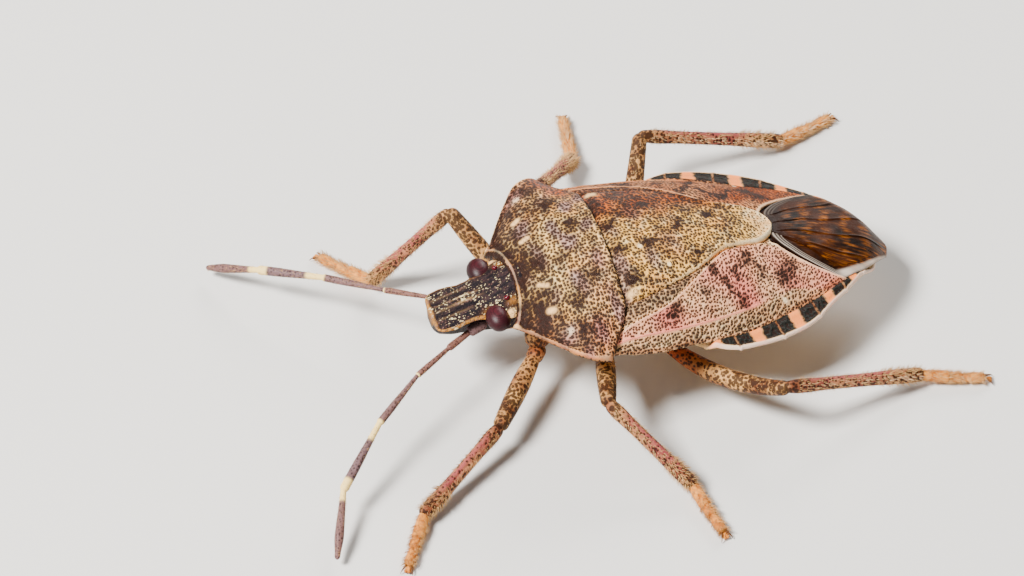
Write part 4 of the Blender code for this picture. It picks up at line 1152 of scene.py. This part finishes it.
def leg_skin(leg):
    """Leg: coxa, trochanter, femur, shin, three foot joints, two claws and their pads."""
    base, knee, ankle, toe = leg_joints(leg)
    thigh, shin, sole = normal(knee - base), normal(ankle - knee), normal(toe - ankle)
    bow, red = (HIND_FEMUR_BOW, 0.8) if leg.endswith("hind") else (0.0, 0.15)
    root = base + np.array([-0.30 * np.sign(base[0]), 0.0, 0.62])
    parts = [
        limb(root, base + thigh * 0.10, ((0, .40), (.6, .40), (1, .34)), 32, 30, (0.3, 0.3),
             rust=0.15, dark=0.5),
        limb(base - thigh * 0.05, base + thigh * 0.62, ((0, .26), (.5, .28), (1, .24)), 32, 30, (0.2, 0.2),
             rust=0.3, dark=0.3),
        limb(base + thigh * 0.42, knee + thigh * 0.10, FEMUR_PROFILE, 40, 110, (0.2, 0.22), bow,
             dark=lambda t, angle: 0.15 + 0.85 * ease(t, 0.2, 0.8),
             rust=lambda t, angle: red * fall(t, 0.1, 0.45)),
        limb(knee - shin * 0.06, ankle + shin * 0.10, SHIN_PROFILE, 40, 110, (0.2, 0.16),
             section=shin_section, bare=shin_stripe,
             rose=lambda t, angle: 0.5 * hump(t, 0.5, 0.4) + 0.45 * shin_stripe(t, angle),
             dark=lambda t, angle: 0.45 + 0.4 * ease(t, 0.75, 0.95) + 0.5 * fall(t, 0.05, 0.2)),
    ]
    for (start, stop, profile), murk in zip(foot_pieces(ankle, toe), (0.12, 0.12, 0.35)):
        parts.append(limb(start, stop, profile, 28, 34, (0.10, 0.10), gold=1.0,
                          claw=lambda t, angle: murk * ease(t, 0.5, 1.0)))
    for turn in (-1.0, 1.0):
        aside = np.cross(sole, UPWARD) * turn
        parts.append(claw(toe, sole, aside))
        pad_end = toe + sole * 0.19 + aside * 0.07
        pad_end[2] = 0.09
        parts.append(limb(toe + np.array([0, 0, -0.03]), pad_end, ((0, .05), (1, .06)), 14, 14,
                          (0.05, 0.06), gold=1.0))
    nodes = [f"{piece}_{leg}" for piece in ("coxa", "femur", "tibia", "foot")]
    put_skin(f"leg_{leg}", merge(parts), LEG, "leg_shell", *nodes)


# Hairs

def hair_roots(rng, first, second, profile, count, low, high, bow=0.0):
    """Random places on a rod between two shares of its length: point, outward and forward
    directions, and where it lies along and around."""
    t = low + (high - low) * rng.random(count)
    angle = 2.0 * np.pi * rng.random(count)
    along = normal(second - first)
    side, up = square_axes(along)
    out = side * np.cos(angle)[:, None] + up * np.sin(angle)[:, None]
    point = bowed(first, second, t, bow) + out * (smooth(profile, t) * 0.96)[:, None]
    return point, out, np.broadcast_to(along, out.shape), t, angle / (2.0 * np.pi)


def hair_mesh(name, groves):
    """Bristles as three-sided spikes: each stands on its root, leans forward by the grove's
    lean and thins to a point. Every spike has a small patch of its own on the unwrapped limb."""
    rng = np.random.default_rng(7)
    points, patches = [], []
    for row, (roots, length, width, lean) in enumerate(groves):
        point, out, along, t, turn = roots
        reach = length * rng.uniform(0.6, 1.2, len(point))[:, None]
        across = np.cross(out, along)
        sway = across * rng.uniform(-0.35, 0.35, len(point))[:, None]
        tip = point + (out * math.cos(lean) + along * math.sin(lean) + sway) * reach
        tip[:, 2] = np.maximum(tip[:, 2], 0.01)
        feet = [point + (across * math.cos(a) + along * math.sin(a)) * width for a in (0.0, 2.1, 4.2)]
        points.append(np.stack(feet + [tip], axis=1))
        patches.append(np.stack([(row + 0.1 + 0.8 * turn) / len(groves), 0.05 + 0.9 * t], axis=-1))
    points = np.concatenate(points)
    a, b, c, d = (points[:, k] for k in range(4))
    inside_out = np.einsum("ij,ij->i", np.cross(b - a, c - a), d - a) < 0
    spike = np.array([[0, 1, 3], [1, 2, 3], [2, 0, 3], [0, 2, 1]])
    faces = 4 * np.arange(len(points))[:, None, None] + spike
    faces[inside_out] = faces[inside_out][:, :, ::-1]
    faces = faces.reshape(-1, 3)
    mesh = bpy.data.meshes.new(name)
    mesh.from_pydata(to_metres(points.reshape(-1, 3)).tolist(), [], faces.tolist())
    corner = np.array([[-0.0015, -0.0015], [0.0015, -0.0015], [0.0, -0.0015], [0.0, 0.0015]])
    place = np.repeat(np.concatenate(patches), 12, axis=0) + corner[faces.reshape(-1) % 4]
    mesh.uv_layers.new(name="OFBake").data.foreach_set("uv", place.reshape(-1))
    mesh.materials.append(BRISTLE)
    hairs = add_object(name, mesh)
    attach(hairs, "root")
    return hairs


def leg_hairs():
    """Golden bristles on shins and feet, longest under the feet and at the shin's end."""
    rng = np.random.default_rng(5)
    groves = []
    for leg in LEG_POSES:
        base, knee, ankle, toe = leg_joints(leg)
        bow = HIND_FEMUR_BOW if leg.endswith("hind") else 0.0
        groves.append((hair_roots(rng, base, knee, FEMUR_PROFILE, 260, 0.35, 0.97, bow), 0.09, 0.008, 0.8))
        groves.append((hair_roots(rng, knee, ankle, SHIN_PROFILE, 620, 0.06, 0.75), 0.13, 0.009, 0.75))
        groves.append((hair_roots(rng, knee, ankle, SHIN_PROFILE, 420, 0.72, 1.0), 0.19, 0.010, 0.65))
        for start, stop, profile in foot_pieces(ankle, toe):
            groves.append((hair_roots(rng, start, stop, profile, 260, 0.05, 0.98), 0.17, 0.010, 0.75))
    hair_mesh("leg_bristles", groves)


def antenna_hairs():
    """Short fine hairs on the outer joints of the feelers."""
    rng = np.random.default_rng(6)
    groves = []
    for joints in map(np.array, ANTENNA_JOINTS.values()):
        for number, width in enumerate(ANTENNA_RADII):
            root = width * ANTENNA_ROOTS[number]
            profile = ((0, root), (.5, 0.3 * root + 0.7 * width), (1, width * (0.6 if number == 4 else 1.0)))
            roots = hair_roots(rng, joints[number], joints[number + 1], profile, 90 + 70 * number, 0.08, 0.96)
            groves.append((roots, 0.07, 0.006, 0.8))
    hair_mesh("feeler_hairs", groves)


# Studio

def floor_plane():
    """Square floor under the insect."""
    mesh = bpy.data.meshes.new("studio_floor")
    size = 0.6
    corners = [(-size, -size, 0.0), (size, -size, 0.0), (size, size, 0.0), (-size, size, 0.0)]
    mesh.from_pydata(corners, [], [(0, 1, 2, 3)])
    material, _ = new_material("studio_floor", 0.7)
    mesh.materials.append(painted(material, srgb(222, 220, 216)))
    floor = add_object("studio_floor", mesh)


def set_place(thing, right, up, back, place):
    """Put a camera or lamp at a place in metres, with those directions as its axes."""
    world = np.eye(4)
    world[:3] = np.stack([right, up, back, place], axis=1)
    thing.matrix_world = Matrix(world.tolist())


def put_camera():
    """The camera, turned backwards from what it looks at by its angles and then rolled."""
    azimuth, elevation, roll = (math.radians(angle) for angle in (AZIMUTH, ELEVATION, ROLL))
    back = np.array([math.sin(azimuth) * math.cos(elevation), -math.cos(azimuth) * math.cos(elevation),
                     math.sin(elevation)])
    left, rise = square_axes(back)
    right = math.sin(roll) * rise - math.cos(roll) * left
    up = math.cos(roll) * rise + math.sin(roll) * left
    data = bpy.data.cameras.new("camera")
    data.lens = LENS
    data.sensor_width = 36.0
    data.clip_start = 0.001
    data.clip_end = 10.0
    camera = add_object("camera", data)
    set_place(camera, right, up, back, to_metres(np.array([*LOOK_AT, 0.0]) + DISTANCE * back))
    bpy.context.scene.camera = camera


def soft_light(name, place, size, power, colour=(1.0, 0.98, 0.95)):
    """A square lamp that faces the insect, at the given place in metres."""
    data = bpy.data.lights.new(name, "AREA")
    data.size = size
    data.energy = power
    data.color = colour
    away = normal(np.array(place))
    left, up = square_axes(away)
    set_place(add_object(name, data), -left, up, away, place)


def put_lights():
    """A dim white surround, a key light in front, a weak fill and a light from behind."""
    world = bpy.data.worlds.new("studio")
    world.use_nodes = True
    background = world.node_tree.nodes["Background"]
    background.inputs["Color"].default_value = (1.0, 1.0, 1.0, 1.0)
    background.inputs["Strength"].default_value = 0.12
    bpy.context.scene.world = world
    soft_light("key", (0.02, -0.15, 0.20), 0.07, 2.10)
    soft_light("fill", (0.24, 0.06, 0.12), 0.20, 0.12, (1.0, 1.0, 1.0))
    soft_light("back", (-0.18, 0.14, 0.13), 0.10, 0.60)


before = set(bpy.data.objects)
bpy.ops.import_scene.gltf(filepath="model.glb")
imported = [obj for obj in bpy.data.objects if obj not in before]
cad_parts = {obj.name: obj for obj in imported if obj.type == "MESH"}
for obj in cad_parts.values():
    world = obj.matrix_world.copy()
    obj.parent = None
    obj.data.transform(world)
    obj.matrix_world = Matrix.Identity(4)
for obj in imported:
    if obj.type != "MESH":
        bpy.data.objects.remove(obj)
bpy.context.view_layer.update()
scutellum_low, scutellum_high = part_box("scutellum")
head_low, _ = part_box("head")
SHIFT = np.array([0.5 * (scutellum_low[0] + scutellum_high[0]) / MM, head_low[1] / MM - 0.04, 0.0])

PUNCTURES = punctures_group("flat_punctures", "2D")
ROUND_PUNCTURES = punctures_group("round_punctures", "3D")
CLOUDS = clouds_group()
STREAKS = streaks_group()
HEAD_SHELL = head_material()
PRONOTUM = shell_material("pronotum_punctures", CREAM, OCHRE, 8200.0, 10400.0, 0.41)
SCUTELLUM = shell_material("scutellum_punctures", srgb(252, 192, 96), OCHRE, 9200.0, 9600.0, 0.38)
CORIUM = shell_material("corium_punctures", srgb(250, 192, 132), srgb(255, 210, 152), 9800.0, 9800.0,
                        0.31, 0.6)
MEMBRANE = membrane_material()
BELLY = belly_material()
EYE = eye_material()
BEAD = bead_material()
LEG = leg_material()
ANTENNA = antenna_material()
BRISTLE = bristle_material()

head_skin()
pronotum_skin()
scutellum_skin()
trunk_skin()
beak_skin()
ocelli_skin()
for SIDE, SIGN in (("left", 1.0), ("right", -1.0)):
    eye_skin(SIDE, SIGN)
    wing_skin(SIDE, SIGN)
    membrane_skin(SIDE, SIGN)
    antenna_skin(SIDE, SIGN)
for LEG_NAME in LEG_POSES:
    leg_skin(LEG_NAME)
leg_hairs()
antenna_hairs()

floor_plane()
put_camera()
put_lights()
